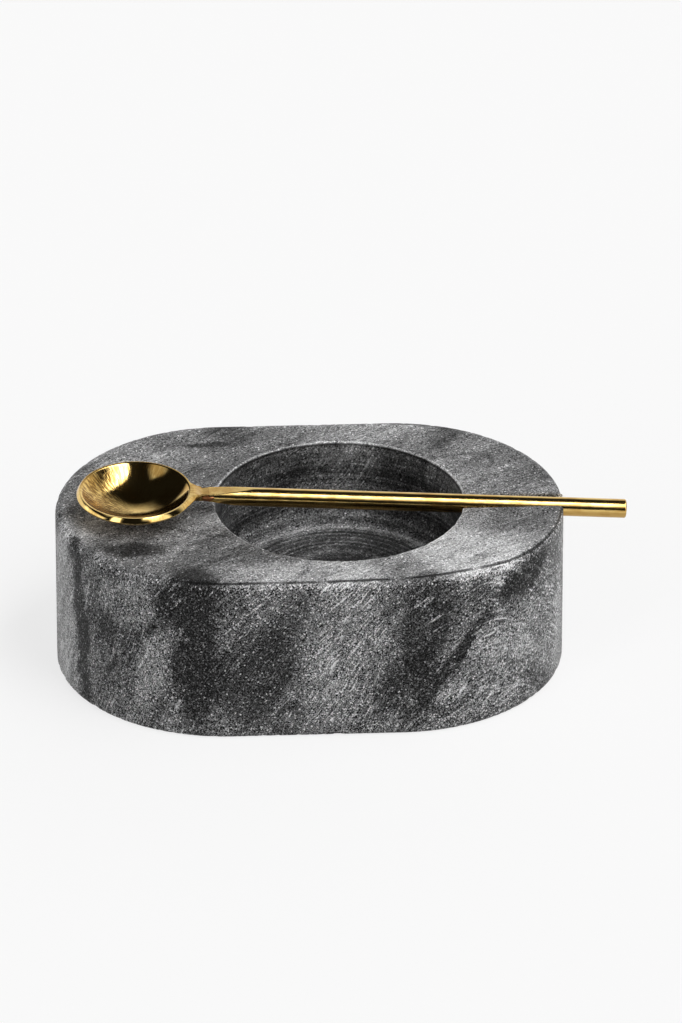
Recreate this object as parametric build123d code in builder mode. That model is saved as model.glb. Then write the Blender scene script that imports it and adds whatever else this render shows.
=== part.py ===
"""Stone salt cellar: a block with a round well, and a loose brass spoon that lies across it in a groove."""
import os
from math import atan2, cos, radians, sin, tan

from build123d import *

os.makedirs("parts", exist_ok=True)

# Stone block: straight sides and half-round ends, standing on z = 0
block_length = 120.0
block_width = 80.0
block_height = 41.0
top_edge_radius = 2.5
base_edge_radius = 1.2

# Round salt well, set off centre so that a wide land is left for the spoon's bowl
well_offset = 7.0
well_radius = 29.3
well_depth = 20.8
well_floor_radius = 4.2

# Groove in the rim, from the well to the right end, that the spoon's handle lies in
groove_offset = -1.45
groove_width = 6.4
groove_depth = 4.7

# Ease on the lips of the well and the groove
lip_radius = 0.5

# Spoon bowl: a shallow cap with a narrow flat rim and a bevelled edge
bowl_radius = 13.85
bowl_depth = 5.5
bowl_wall = 1.0
bowl_rim_width = 1.1
bowl_edge_height = 1.2
bowl_edge_bevel = 0.5
rim_edge_radius = 0.25

# Neck: a flat tang that flares into the rim, wider on its near side, and dips to the end of the handle
neck_length = 3.35
neck_flush = 0.1
neck_flare_near = 6.6
neck_flare_far = 3.6
tang_width = 3.4
tang_thickness = 1.6

# Handle: a round rod, filed to a wedge where it meets the tang
handle_diameter = 4.5
handle_overhang = 14.8
handle_sink = 0.9
filed_depth = 1.05
filed_length = 10.5
bevel_length = 9.7
handle_end_radius = 0.4

# How the loose spoon lies on the stone: turned and rolled by a few degrees, just clear of the surface
spoon_yaw = 1.75
spoon_roll = 2.2
rest_gap = 0.15

# Sizes that follow from the ones above
groove_floor = block_height - groove_depth
groove_start = well_offset + well_radius
handle_radius = handle_diameter / 2
filed_top = handle_radius - filed_depth
tang_under = filed_top - tang_thickness
bowl_outer_depth = bowl_depth + bowl_wall
rim_inner = bowl_radius - bowl_rim_width
rim_outer = bowl_radius - bowl_edge_bevel
rim_middle = (rim_inner + rim_outer) / 2
bowl_inner_curve = (rim_inner**2 + bowl_depth**2) / (2 * bowl_depth)
bowl_under_depth = bowl_outer_depth - bowl_edge_height
bowl_outer_curve = (bowl_radius**2 + bowl_under_depth**2) / (2 * bowl_under_depth)

# The bowl stands in the middle of the land, and the handle drops from it onto the groove's outer end
land_middle = (well_offset - well_radius - block_length / 2) / 2
rim_height = block_height + rest_gap + bowl_outer_depth
groove_reach = (block_length / 2 - land_middle) / cos(radians(spoon_yaw))
handle_fall = rim_height - handle_sink - (groove_floor + rest_gap + handle_radius)
handle_slope = atan2(handle_fall, groove_reach)
root_x = bowl_radius + neck_length
root_z = -handle_sink - root_x * tan(handle_slope)
handle_length = (groove_reach + handle_overhang - root_x) / cos(handle_slope)
dip_end = root_x - 0.35 * neck_length
filed_rise = tan(atan2(filed_depth, filed_length) - handle_slope)

# The way the spoon points: the handle's middle line meets the groove's towards its outer end
heading = Vector(cos(radians(spoon_yaw)), sin(radians(spoon_yaw)), 0)
rim_up = Vector(0, 0, 1).rotate(Axis((0, 0, 0), heading), spoon_roll)
handle_ahead = heading * cos(handle_slope) - rim_up * sin(handle_slope)
meet_x = groove_start + 0.75 * (block_length / 2 - groove_start)
bowl_y = groove_offset - (meet_x - land_middle) * handle_ahead.Y / handle_ahead.X

# Planes of the spoon: its rim, its side view, the handle's end at the neck and the handle's side view
spoon_rim = Plane(origin=(land_middle, bowl_y, rim_height), x_dir=heading, z_dir=rim_up)
spoon_side = Plane(origin=spoon_rim.origin, x_dir=heading, z_dir=-spoon_rim.y_dir)
root_centre = spoon_side.from_local_coords(Vector(root_x, root_z, 0))
handle_root = Plane(origin=root_centre, x_dir=spoon_rim.y_dir, z_dir=handle_ahead)
handle_side = Plane(origin=root_centre, x_dir=handle_ahead, z_dir=-spoon_rim.y_dir)


def is_groove_lip(edge: Edge) -> bool:
    """Tell whether an edge bounds the groove, other than the two seams inside it.

    Args:
        edge: An edge of the cut block.

    Returns:
        True for an edge on the groove's outline.
    """
    box = edge.bounding_box()
    slack = lip_radius / 10
    reach = groove_width / 2 + slack
    inside = abs(box.min.Y - groove_offset) < reach and abs(box.max.Y - groove_offset) < reach
    above = box.min.Z > groove_floor - slack
    seam = box.size.Z < slack and box.max.Z < block_height - slack
    return inside and above and not seam


def is_well_mouth(edge: Edge) -> bool:
    """Tell whether a round edge is the mouth of the well.

    Args:
        edge: A round edge of the cut block.

    Returns:
        True for the edge between the well's wall and the top of the block.
    """
    slack = lip_radius / 10
    at_top = abs(edge.bounding_box().min.Z - block_height) < slack
    return at_top and abs(edge.radius - well_radius) < slack


# Marble block
with BuildPart() as marble_block:
    with BuildSketch(Plane.XY):
        SlotOverall(block_length, block_width)
    extrude(amount=block_height)
    fillet(marble_block.faces().sort_by(Axis.Z)[-1].edges(), top_edge_radius)
    fillet(marble_block.faces().sort_by(Axis.Z)[0].edges(), base_edge_radius)
    # Well with a rounded floor corner
    with BuildSketch(Plane.XY.offset(block_height - well_depth)):
        with Locations((well_offset, 0)):
            Circle(well_radius)
    extrude(amount=well_depth, mode=Mode.SUBTRACT)
    well_floor = marble_block.faces().filter_by_position(
        Axis.Z, block_height - well_depth, block_height - well_depth
    )
    fillet(well_floor.edges(), well_floor_radius)
    # Groove with a round bottom, open at the top and at both ends
    with BuildSketch(Plane.YZ.offset(well_offset)):
        with Locations((groove_offset, groove_floor + groove_width / 2)):
            Circle(groove_width / 2)
            Rectangle(groove_width, groove_depth, align=(Align.CENTER, Align.MIN))
    extrude(amount=block_length, mode=Mode.SUBTRACT)
    # Eased lips
    groove_lips = marble_block.edges().filter_by(is_groove_lip)
    well_mouth = marble_block.edges().filter_by(GeomType.CIRCLE).filter_by(is_well_mouth)
    fillet(groove_lips + well_mouth, lip_radius)
marble_block.part.label = "marble_block"

# Spoon neck, cut to its plan shape and then to its side shape
with BuildPart() as spoon_neck:
    with BuildSketch(spoon_rim):
        with BuildLine():
            near = (rim_middle**2 - neck_flare_near**2) ** 0.5, -neck_flare_near
            far = (rim_middle**2 - neck_flare_far**2) ** 0.5, neck_flare_far
            tang_near = root_x - 0.2 * neck_length, -tang_width / 2
            tang_far = root_x - 0.65 * neck_length, tang_width / 2
            ThreePointArc(far, (rim_middle, 0), near)
            Spline(near, tang_near, tangents=((1, 0.5), (1, 0)))
            Polyline(
                tang_near,
                (root_x + neck_length, -tang_width / 2),
                (root_x + neck_length, tang_width / 2),
                tang_far,
            )
            Spline(tang_far, far, tangents=((-1, 0), (-1, 1.6)))
        make_face()
    extrude(amount=bowl_outer_depth, both=True)
    with BuildSketch(spoon_side):
        with BuildLine():
            root_top = (root_x + filed_top * sin(handle_slope), root_z + filed_top * cos(handle_slope))
            root_low = (root_x + tang_under * sin(handle_slope), root_z + tang_under * cos(handle_slope))
            dip_top = (dip_end, root_top[1] - filed_rise * (root_top[0] - dip_end))
            dip_low = (dip_end, dip_top[1] - tang_thickness)
            Line((bowl_radius / 2, 0), (bowl_radius + neck_flush, 0))
            Spline((bowl_radius + neck_flush, 0), dip_top, tangents=((1, 0), (1, filed_rise)))
            Polyline(dip_top, root_top, root_low, dip_low)
            Spline(dip_low, (rim_middle, -tang_thickness), tangents=((-1, -filed_rise), (-1, 0)))
            Polyline(
                (rim_middle, -tang_thickness),
                (bowl_radius / 2, -tang_thickness),
                (bowl_radius / 2, 0),
            )
        make_face()
    extrude(amount=bowl_radius, both=True, mode=Mode.INTERSECT)

# Spoon bowl with its neck
with BuildPart() as spoon_bowl:
    with BuildSketch(spoon_side) as bowl_profile:
        with BuildLine():
            RadiusArc((0, -bowl_depth), (rim_inner, 0), -bowl_inner_curve)
            Polyline((rim_inner, 0), (rim_outer, 0), (bowl_radius, -bowl_edge_height))
            RadiusArc((bowl_radius, -bowl_edge_height), (0, -bowl_outer_depth), bowl_outer_curve)
            Line((0, -bowl_outer_depth), (0, -bowl_depth))
        make_face()
        fillet(bowl_profile.vertices().sort_by(Axis.Y)[-3:], rim_edge_radius)
    revolve(axis=Axis(spoon_rim.origin, spoon_rim.z_dir))
    add(spoon_neck.part)
spoon_bowl.part.label = "spoon_bowl"

# Spoon handle
with BuildPart() as spoon_handle:
    with BuildSketch(handle_root):
        Circle(handle_radius)
    extrude(amount=handle_length)
    handle_end = spoon_handle.faces().sort_by(Axis(root_centre, handle_ahead))[-1]
    fillet(handle_end.edges(), handle_end_radius)
    # Flat filed on top, running out along the rod
    with BuildSketch(handle_side):
        with BuildLine():
            Polyline(
                (0, filed_top),
                (filed_length, handle_radius),
                (filed_length, handle_diameter),
                (-handle_radius, handle_diameter),
                (-handle_radius, filed_top),
                close=True,
            )
        make_face()
    extrude(amount=handle_diameter, both=True, mode=Mode.SUBTRACT)
    # Bevel below, running out along the rod from the underside of the tang
    with BuildSketch(handle_side):
        with BuildLine():
            Polyline(
                (0, tang_under),
                (bevel_length, -handle_radius),
                (bevel_length, -handle_diameter),
                (-handle_radius, -handle_diameter),
                (-handle_radius, tang_under),
                close=True,
            )
        make_face()
    extrude(amount=handle_diameter, both=True, mode=Mode.SUBTRACT)
spoon_handle.part.label = "spoon_handle"

export_step(marble_block.part, "parts/marble_block.step")
export_step(spoon_bowl.part, "parts/spoon_bowl.step")
export_step(spoon_handle.part, "parts/spoon_handle.step")
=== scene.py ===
"""Salt cellar: a honed grey marble block with a round well, and a loose brass spoon laid across it."""
import logging
import math
from dataclasses import dataclass
from enum import Enum

import bpy
import numpy as np
from mathutils import Matrix, Vector, noise


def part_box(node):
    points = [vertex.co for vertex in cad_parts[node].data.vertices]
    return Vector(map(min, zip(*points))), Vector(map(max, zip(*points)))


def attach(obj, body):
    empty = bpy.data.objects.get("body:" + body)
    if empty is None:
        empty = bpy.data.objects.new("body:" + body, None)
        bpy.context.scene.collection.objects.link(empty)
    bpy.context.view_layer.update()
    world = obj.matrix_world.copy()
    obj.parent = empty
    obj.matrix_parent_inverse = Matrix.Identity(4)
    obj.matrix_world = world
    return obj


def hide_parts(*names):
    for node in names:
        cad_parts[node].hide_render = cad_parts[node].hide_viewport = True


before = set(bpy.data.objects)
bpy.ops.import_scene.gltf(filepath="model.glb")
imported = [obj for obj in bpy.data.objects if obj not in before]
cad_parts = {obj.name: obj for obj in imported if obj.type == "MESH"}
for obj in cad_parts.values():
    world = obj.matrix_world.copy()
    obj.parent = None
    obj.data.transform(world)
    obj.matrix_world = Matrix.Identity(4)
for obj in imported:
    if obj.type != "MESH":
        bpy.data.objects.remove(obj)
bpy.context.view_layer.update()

LOG = logging.getLogger("salt_cellar")
MM = 0.001
UP = Vector((0.0, 0.0, 1.0))
PLAN_ONLY = (1.0, 1.0, 0.0)
NOISE_MEAN = 0.5
Span = tuple[float, float]
Triple = tuple[float, float, float]
Socket = bpy.types.NodeSocket
Feed = Socket | float | Triple


class Graph:
    """Short calls that add and wire the nodes of one tree."""

    def __init__(self, tree: bpy.types.NodeTree) -> None:
        """Keep the tree that the calls add to."""
        self.tree = tree

    def node(self, kind: str, **settings: object) -> bpy.types.Node:
        """Add a node.

        Args:
            kind: The node's type name.
            settings: Properties of the node and their values.

        Returns:
            The new node.
        """
        made = self.tree.nodes.new(kind)
        for name, value in settings.items():
            setattr(made, name, value)
        return made

    def feed(self, socket: Socket, value: Feed) -> None:
        """Link a socket to another one, or set its own value.

        Args:
            socket: The input to feed.
            value: The output that it is linked to, or its own value.
        """
        if isinstance(value, Socket):
            self.tree.links.new(value, socket)
        else:
            socket.default_value = value

    def math(self, operation: str, *values: Feed, clamp: bool = False) -> Socket:
        """Add a math node.

        Args:
            operation: The node's operation.
            values: Its inputs, in order.
            clamp: Whether the result is kept between 0 and 1.

        Returns:
            The result's socket.
        """
        made = self.node("ShaderNodeMath", operation=operation, use_clamp=clamp)
        for socket, value in zip(made.inputs, values):
            self.feed(socket, value)
        return made.outputs[0]

    def vector(self, operation: str, *values: Feed) -> Socket:
        """Add a vector math node.

        Args:
            operation: The node's operation.
            values: Its inputs; the second one of SCALE is its factor.

        Returns:
            The vector's socket, or the number's for DOT_PRODUCT and LENGTH.
        """
        made = self.node("ShaderNodeVectorMath", operation=operation)
        sockets = [made.inputs[0], made.inputs["Scale"]] if operation == "SCALE" else made.inputs
        for socket, value in zip(sockets, values):
            self.feed(socket, value)
        number = operation in ("DOT_PRODUCT", "LENGTH")
        return made.outputs["Value" if number else "Vector"]

    def joined(self, *parts: Feed) -> Socket:
        """Make a vector of its parts.

        Args:
            parts: Its x, y and z; one that isn't given is 0.

        Returns:
            The vector's socket.
        """
        made = self.node("ShaderNodeCombineXYZ")
        for socket, value in zip(made.inputs, parts):
            self.feed(socket, value)
        return made.outputs[0]

    def parted(self, vector: Feed) -> list[Socket]:
        """Take a vector apart.

        Args:
            vector: The vector.

        Returns:
            The sockets of its x, y and z.
        """
        made = self.node("ShaderNodeSeparateXYZ")
        self.feed(made.inputs[0], vector)
        return list(made.outputs)

    def measured(self, place: Feed, rows: tuple[Triple, ...]) -> Socket:
        """Measure a place along three directions.

        Args:
            place: The place.
            rows: The three directions, each divided by the unit along it.

        Returns:
            The place in those units.
        """
        return self.joined(*(self.vector("DOT_PRODUCT", place, row) for row in rows))

    def ramp_between(self, value: Feed, low: float, high: float) -> Socket:
        """Ease a value from 0 at low to 1 at high, whichever of the two is larger.

        Args:
            value: The value to ease.
            low: Where the result is 0.
            high: Where the result is 1.

        Returns:
            The result's socket.
        """
        made = self.node("ShaderNodeMapRange", interpolation_type="SMOOTHSTEP", clamp=True)
        self.feed(made.inputs["Value"], value)
        self.feed(made.inputs["From Min"], low)
        self.feed(made.inputs["From Max"], high)
        return made.outputs["Result"]

    def noise(self, place: Feed, size: float, detail: float = 2.0, rough: float = 0.5) -> bpy.types.Node:
        """Add a noise texture whose features are about one size across.

        Args:
            place: The vector that it reads.
            size: The size of its features, in that vector's units.
            detail: How many finer layers it has.
            rough: How strong each finer layer is.

        Returns:
            The noise node.
        """
        made = self.node("ShaderNodeTexNoise")
        self.feed(made.inputs["Vector"], place)
        self.feed(made.inputs["Scale"], 1.0 / size)
        self.feed(made.inputs["Detail"], detail)
        self.feed(made.inputs["Roughness"], rough)
        return made

    def swung(self, swing: Feed, amount: float, base: Feed) -> Socket:
        """Add a noise to a value, counted from the noise's own mean.

        Args:
            swing: The noise, from 0 to 1.
            amount: How much of it is added.
            base: The value that it is added to.

        Returns:
            The sum's socket.
        """
        return self.math("MULTIPLY_ADD", self.math("SUBTRACT", swing, NOISE_MEAN), amount, base)

    def mix(self, share: Feed, first: Feed, second: Feed) -> Socket:
        """Blend two colours.

        Args:
            share: How much of the second colour shows.
            first: The colour at 0.
            second: The colour at 1.

        Returns:
            The colour's socket.
        """
        made = self.node("ShaderNodeMix", data_type="RGBA")
        # The node has inputs and outputs for each type of data, and these are the ones for colours
        sockets = made.inputs[0], made.inputs[6], made.inputs[7]
        for socket, value in zip(sockets, (share, first, second)):
            self.feed(socket, (*value, 1.0) if isinstance(value, tuple) else value)
        return made.outputs[2]


def new_material(name: str) -> tuple[bpy.types.Material, Graph, bpy.types.Node]:
    """Start a node material.

    Args:
        name: The material's name.

    Returns:
        The material, its graph and its surface shader.
    """
    material = bpy.data.materials.new(name)
    material.use_nodes = True
    return material, Graph(material.node_tree), material.node_tree.nodes["Principled BSDF"]


def millimetres(graph: Graph) -> Socket:
    """Give the place on a piece in millimetres, in the frame's own axes."""
    place = graph.node("ShaderNodeTexCoord").outputs["Object"]
    return graph.vector("SCALE", place, 1.0 / MM)


def scaled(colour: Triple, shares: Triple) -> Triple:
    """Keep a share of each channel of a colour."""
    return tuple(channel * share for channel, share in zip(colour, shares))


@dataclass(frozen=True)
class Cloud:
    """A soft pale or dark cloud in the stone, or a painted reflection strip, in millimetres.

    Attributes:
        middle: Where its middle is.
        reach: Its half sizes to the right, to the back and up.
        lean: How far it leans to the right for each millimetre that it rises.
        paleness: How much paler the stone is there; below 0 it is darker.
    """

    middle: Triple
    reach: Triple
    lean: float
    paleness: float


@dataclass(frozen=True)
class MarbleFinish:
    """Honed grey marble: sparkling grain, slanted dashes, clouds, pale streaks and a few dark veins.

    Lengths are in millimetres. A size of two numbers is the thickness across the stone's layers and the
    width along them. An edge of two numbers is where a mark starts to show and where it shows in full.

    Attributes:
        across: The direction that crosses the stone's fine layers.
        wide_fold: Size and push of the folds that streaks and veins follow.
        folds: Size and push of the folds that clouds follow, from wide to narrow.
        clouds: The clouds that can be told apart; the two pale strips at the block's left and right ends are
            painted reflection, not stone.
        cloud_edge: Edge of such a cloud, as shares of its reach.
        cloud_size: Size of the broad clouds made by rule.
        cloud_contrast: How much they differ in tone.
        cloud_base: The tone that they are added to.
        drift_size: Size of the narrow clouds between them.
        drift_contrast: How much those differ in tone.
        crystal_size: Width of a crystal.
        crystal_contrast: How much crystals differ in tone.
        grain_size: Width of a grain.
        grain_contrast: How much grains differ in tone.
        grain_in_dark: How much of the grain shows in black stone.
        hair_size: Size of a hairline.
        hair_edge: Edge of a hairline, as values of its noise.
        hair_mean: The mean of all hairlines, which is taken off again.
        hair_patch: Width of the patches that hairlines come in.
        hair_patch_edge: Edge of such a patch.
        hair_contrast: How pale hairlines are.
        streak_size: Size of a pale streak.
        streak_edge: Edge of a streak.
        streak_patch: Width of the patches that streaks come in.
        streak_patch_edge: Edge of such a patch.
        streak_contrast: How pale streaks are.
        vein_size: Size of the folds that veins follow.
        vein_edge: Edge of a vein.
        vein_gap_edge: Where a vein breaks off.
        vein_depth: How dark veins are.
        end_radius: Radius of the block's round ends.
        straight: Half length of its straight sides.
        top: Height of its top.
        top_edge: Radius of the edge round the top.
        top_band: How far below the top its own look starts, and where it is full.
        top_calm: How much less grain the top shows.
        top_paleness: How much paler the top is.
        line_place: How far over the edge the thin dark line runs.
        line_edge: Edge of that line.
        line_depth: How dark it is.
        line_start: Where it starts at the left, and where it is full.
        line_gap_edge: Where it breaks off.
        line_drift: Stretches from left to right over which it moves, and how far.
        wobble_size: Length of its waves.
        wobble: Height of its waves.
        rub_and_highlight_place: How far past the line the pale edge is, which is partly rubbed wear and
            partly a painted highlight on the rounded edge.
        rub_and_highlight_edge: Edge of that pale part.
        rub_and_highlight_paleness: How pale it is.
        outer_band: How far from the outline the line and the pale, partly rubbed edge may lie.
        well_middle: Plan place of the well's middle.
        well_radius: Radius of the well.
        well_edge: How far outside the well's wall its look starts, and where it is full.
        well_top_edge: How far below the top that look starts, and where it is full.
        well_painted_shade: Painted shade: how much darker the well is, standing in for the shade inside its
            recess.
        well_calm: How much less grain it shows.
        ring_size: Width of the rings of the grinding.
        ring_contrast: How much the rings differ in tone.
        floor_depth: How far below the top the floor's look starts, and where it is full.
        well_floor_painted_shade: Painted shade: how much darker again the well's floor is.
        floor_ring: Radius of the ring where the well's floor turns up.
        floor_ring_glow: Edge and paleness of that ring, first its line and then its haze.
        lip_place: How far outside the well's wall the painted highlight on its lip is.
        lip_edge: Edge of the lip.
        lip_depth: How far below the top the lip starts, and where it is full.
        lip_highlight: How pale the painted highlight on the lip is.
        darkest: The darkest tone of the stone, and how softly tones run out to it.
        tones: What the tone is multiplied by, and what is then added.
        gamma: Power that turns a tone into a colour.
        hue: The stone's tint.
        rough: Mean roughness.
        rough_swing: How much the grain changes it.
        specular: Strength of the highlight.
        pit_strength: Strength of the grain's relief.
        pit_depth: Depth of the grain's relief.
    """

    across: Triple = (-0.54, 0.745, 0.38)
    wide_fold: Span = (40.0, 9.0)
    folds: tuple[Span, ...] = ((24.0, 4.0), (5.0, 2.6), (1.4, 0.9))
    clouds: tuple[Cloud, ...] = (
        Cloud((-30.0, -38.5, 37.0), (7.5, 9.0, 6.5), 0.30, -0.52),
        Cloud((-28.0, -38.5, 17.0), (5.0, 14.0, 17.0), 0.05, -0.36),
        Cloud((26.0, -39.0, 30.0), (6.5, 9.0, 12.5), 0.10, -0.24),
        Cloud((22.5, -39.5, 10.0), (6.0, 14.0, 13.0), 0.20, -0.15),
        Cloud((33.0, -37.5, 19.0), (2.0, 10.0, 13.0), 0.75, -0.36),
        Cloud((6.5, -39.5, 23.0), (10.5, 14.0, 24.0), 0.20, 0.15),
        Cloud((45.0, -31.5, 15.0), (7.5, 12.0, 15.0), 0.45, 0.06),
        Cloud((50.0, -27.0, 36.0), (6.5, 8.0, 6.0), 0.80, -0.40),
        Cloud((-38.5, -35.0, 14.0), (4.0, 10.0, 12.0), 0.25, 0.36),
        Cloud((-44.0, -32.0, 33.0), (7.5, 9.0, 7.0), 0.10, 0.24),
        Cloud((-49.5, -27.0, 13.5), (5.5, 9.0, 8.0), 0.20, 0.05),
        Cloud((-54.5, -20.5, 20.0), (1.6, 5.0, 24.0), -0.06, -0.34),
        # Painted reflection: a pale strip down the block's left end, for the sheen of its grazing surface
        Cloud((-58.5, -12.0, 20.0), (3.0, 10.0, 26.0), 0.0, 0.38),
        Cloud((-14.0, -40.0, 17.0), (9.0, 12.0, 14.0), 0.35, -0.22),
        Cloud((-43.0, -21.5, 41.0), (8.0, 3.5, 5.0), 0.0, -0.32),
        Cloud((-56.5, -16.0, 40.0), (2.5, 3.0, 4.0), 0.0, -0.40),
        Cloud((-23.5, 29.5, 41.0), (6.0, 1.4, 4.0), 0.0, -0.30),
        Cloud((36.0, -27.0, 42.0), (20.0, 13.0, 4.5), 0.0, 0.34),
        Cloud((-4.0, -34.5, 42.0), (26.0, 7.0, 3.5), 0.0, 0.26),
        # Painted reflection: a pale strip down the block's right end, for the sheen of its grazing surface
        Cloud((59.0, -11.0, 19.0), (2.5, 8.0, 24.0), 0.0, 0.16),
        Cloud((56.0, 12.0, 17.0), (6.0, 9.0, 16.0), 0.20, -0.12),
        Cloud((36.0, 34.0, 22.0), (6.0, 14.0, 24.0), -0.15, -0.24),
        Cloud((12.0, 40.0, 18.0), (9.0, 14.0, 22.0), -0.25, 0.18),
        Cloud((-14.0, 40.0, 24.0), (7.0, 14.0, 24.0), -0.20, -0.28),
        Cloud((-44.0, 31.0, 16.0), (8.0, 14.0, 18.0), 0.10, 0.18),
    )
    cloud_edge: Span = (1.30, 0.55)
    cloud_size: Span = (16.0, 48.0)
    cloud_contrast: float = 1.10
    cloud_base: float = -0.295
    drift_size: Span = (3.0, 15.0)
    drift_contrast: float = 0.40
    crystal_size: float = 0.32
    crystal_contrast: float = 0.72
    grain_size: float = 0.29
    grain_contrast: float = 2.15
    grain_in_dark: float = 0.44
    hair_size: Span = (0.24, 4.5)
    hair_edge: Span = (0.46, 0.70)
    hair_mean: float = 0.3
    hair_patch: float = 15.0
    hair_patch_edge: Span = (0.36, 0.62)
    hair_contrast: float = 0.34
    streak_size: Span = (0.5, 6.5)
    streak_edge: Span = (0.62, 0.72)
    streak_patch: float = 13.0
    streak_patch_edge: Span = (0.46, 0.62)
    streak_contrast: float = 0.5
    vein_size: Span = (30.0, 70.0)
    vein_edge: Span = (0.014, 0.001)
    vein_gap_edge: Span = (0.58, 0.46)
    vein_depth: float = 0.14
    end_radius: float = 40.0
    straight: float = 20.0
    top: float = 41.0
    top_edge: float = 2.5
    top_band: Span = (1.2, 0.2)
    top_calm: float = 0.47
    top_paleness: float = 0.06
    line_place: float = 1.6
    line_edge: Span = (0.66, 0.24)
    line_depth: float = 0.62
    line_start: Span = (-46.0, -32.0)
    line_gap_edge: Span = (0.30, 0.50)
    line_drift: tuple[tuple[Span, float], ...] = (((6.0, 27.0), 1.0), ((32.0, 52.0), -2.4))
    wobble_size: float = 9.0
    wobble: float = 0.9
    rub_and_highlight_place: float = 1.5
    rub_and_highlight_edge: Span = (1.2, 0.3)
    rub_and_highlight_paleness: float = 0.05
    outer_band: Span = (7.0, 5.0)
    well_middle: Triple = (7.0, 0.0, 0.0)
    well_radius: float = 29.3
    well_edge: Span = (0.25, 0.05)
    well_top_edge: Span = (0.2, 0.45)
    well_painted_shade: float = 0.11
    well_calm: float = 0.45
    ring_size: float = 0.9
    ring_contrast: float = 0.8
    floor_depth: Span = (18.0, 20.6)
    well_floor_painted_shade: float = 0.06
    floor_ring: float = 25.2
    floor_ring_glow: tuple[tuple[Span, float], ...] = (((0.75, 0.2), 0.30), ((2.8, 0.6), 0.12))
    lip_place: float = 0.3
    lip_edge: Span = (0.35, 0.1)
    lip_depth: Span = (0.5, 0.2)
    lip_highlight: float = 0.24
    darkest: Span = (0.15, 0.20)
    tones: Span = (0.80, 0.07)
    gamma: float = 2.2
    hue: Triple = (0.995, 0.995, 1.0)
    rough: float = 0.42
    rough_swing: float = 0.3
    specular: float = 0.09
    pit_strength: float = 0.2
    pit_depth: float = 0.04

    def layered(self, graph: Graph, place: Socket, thick: float, wide: float) -> Socket:
        """Squeeze the place so that a round noise there turns into flat layers.

        Args:
            graph: The tree that it is added to.
            place: The place on the stone.
            thick: How thick a feature is across the layers.
            wide: How wide it is along them.

        Returns:
            The place in units of one feature.
        """
        across = Vector(self.across).normalized()
        level = across.cross(UP).normalized()
        dip = across.cross(level)
        return graph.measured(place, (tuple(across / thick), tuple(level / wide), tuple(dip / wide)))

    def bent(self, graph: Graph, place: Socket, size: float, push: float) -> Socket:
        """Push the place about by a noise of one size, so that straight layers fold.

        Args:
            graph: The tree that it is added to.
            place: The place on the stone.
            size: The size of the folds.
            push: How far they push.

        Returns:
            The new place.
        """
        way = graph.noise(place, size).outputs["Color"]
        way = graph.vector("SCALE", graph.vector("SUBTRACT", way, 3 * (NOISE_MEAN,)), push)
        return graph.vector("ADD", place, way)

    def below_top(self, graph: Graph, height: Socket, depths: Span) -> Socket:
        """Ease a value in between two depths below the top.

        Args:
            graph: The tree that it is added to.
            height: The height of the place on the stone.
            depths: Where the value is 0 and where it is 1.

        Returns:
            The value's socket.
        """
        start, full = depths
        return graph.ramp_between(height, self.top - start, self.top - full)

    def cloudy(self, graph: Graph, folded: Socket) -> Socket:
        """Lay the pale and dark clouds.

        Args:
            graph: The tree that they are added to.
            folded: The place on the stone, with its folds.

        Returns:
            The stone's tone, from 0 for black to 1 for white.
        """
        broad = graph.noise(self.layered(graph, folded, *self.cloud_size), 1.0, detail=4.0, rough=0.6)
        tone = graph.math("MULTIPLY_ADD", broad.outputs["Fac"], self.cloud_contrast, self.cloud_base)
        drift = graph.noise(self.layered(graph, folded, *self.drift_size), 1.0)
        tone = graph.math("MULTIPLY_ADD", drift.outputs["Fac"], self.drift_contrast, tone)
        for cloud in self.clouds:
            right, back, up = cloud.reach
            rows = ((1.0 / right, 0.0, -cloud.lean / right), (0.0, 1.0 / back, 0.0), (0.0, 0.0, 1.0 / up))
            away = graph.measured(graph.vector("SUBTRACT", folded, cloud.middle), rows)
            shade = graph.ramp_between(graph.vector("LENGTH", away), *self.cloud_edge)
            tone = graph.math("MULTIPLY_ADD", shade, cloud.paleness, tone)
        return tone

    def grainy(self, graph: Graph, place: Socket, gentle: Socket, calm: Socket,
               tone: Socket) -> tuple[Socket, Socket]:
        """Add the bright crystals, the fine grain and the pale slanted hairlines.

        Args:
            graph: The tree that they are added to.
            place: The place on the stone.
            gentle: The same place with its wide folds.
            calm: How much of the grain shows.
            tone: The tone so far.

        Returns:
            The new tone, and the grain alone.
        """
        cells = graph.node("ShaderNodeTexVoronoi")
        graph.feed(cells.inputs["Vector"], place)
        graph.feed(cells.inputs["Scale"], 1.0 / self.crystal_size)
        crystal = graph.vector("DOT_PRODUCT", cells.outputs["Color"], (1.0, 1.0, 1.0))
        crystal = graph.math("SUBTRACT", crystal, 3 * NOISE_MEAN)
        bright = graph.math("MULTIPLY", crystal, graph.math("ABSOLUTE", crystal))
        grain = graph.noise(place, self.grain_size, detail=1.0, rough=0.6).outputs["Fac"]
        fleck = graph.swung(grain, self.grain_contrast, graph.math("MULTIPLY", bright, self.crystal_contrast))
        hair = graph.noise(self.layered(graph, gentle, *self.hair_size), 1.0, detail=0.5).outputs["Fac"]
        hair = graph.math("SUBTRACT", graph.ramp_between(hair, *self.hair_edge), self.hair_mean)
        patch = graph.noise(place, self.hair_patch, detail=1.0).outputs["Fac"]
        hair = graph.math("MULTIPLY", hair, graph.ramp_between(patch, *self.hair_patch_edge))
        fleck = graph.math("MULTIPLY_ADD", hair, self.hair_contrast, fleck)
        shown = graph.math("MULTIPLY", calm, graph.math("ADD", tone, self.grain_in_dark, clamp=True))
        return graph.math("MULTIPLY_ADD", fleck, shown, tone), grain

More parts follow.
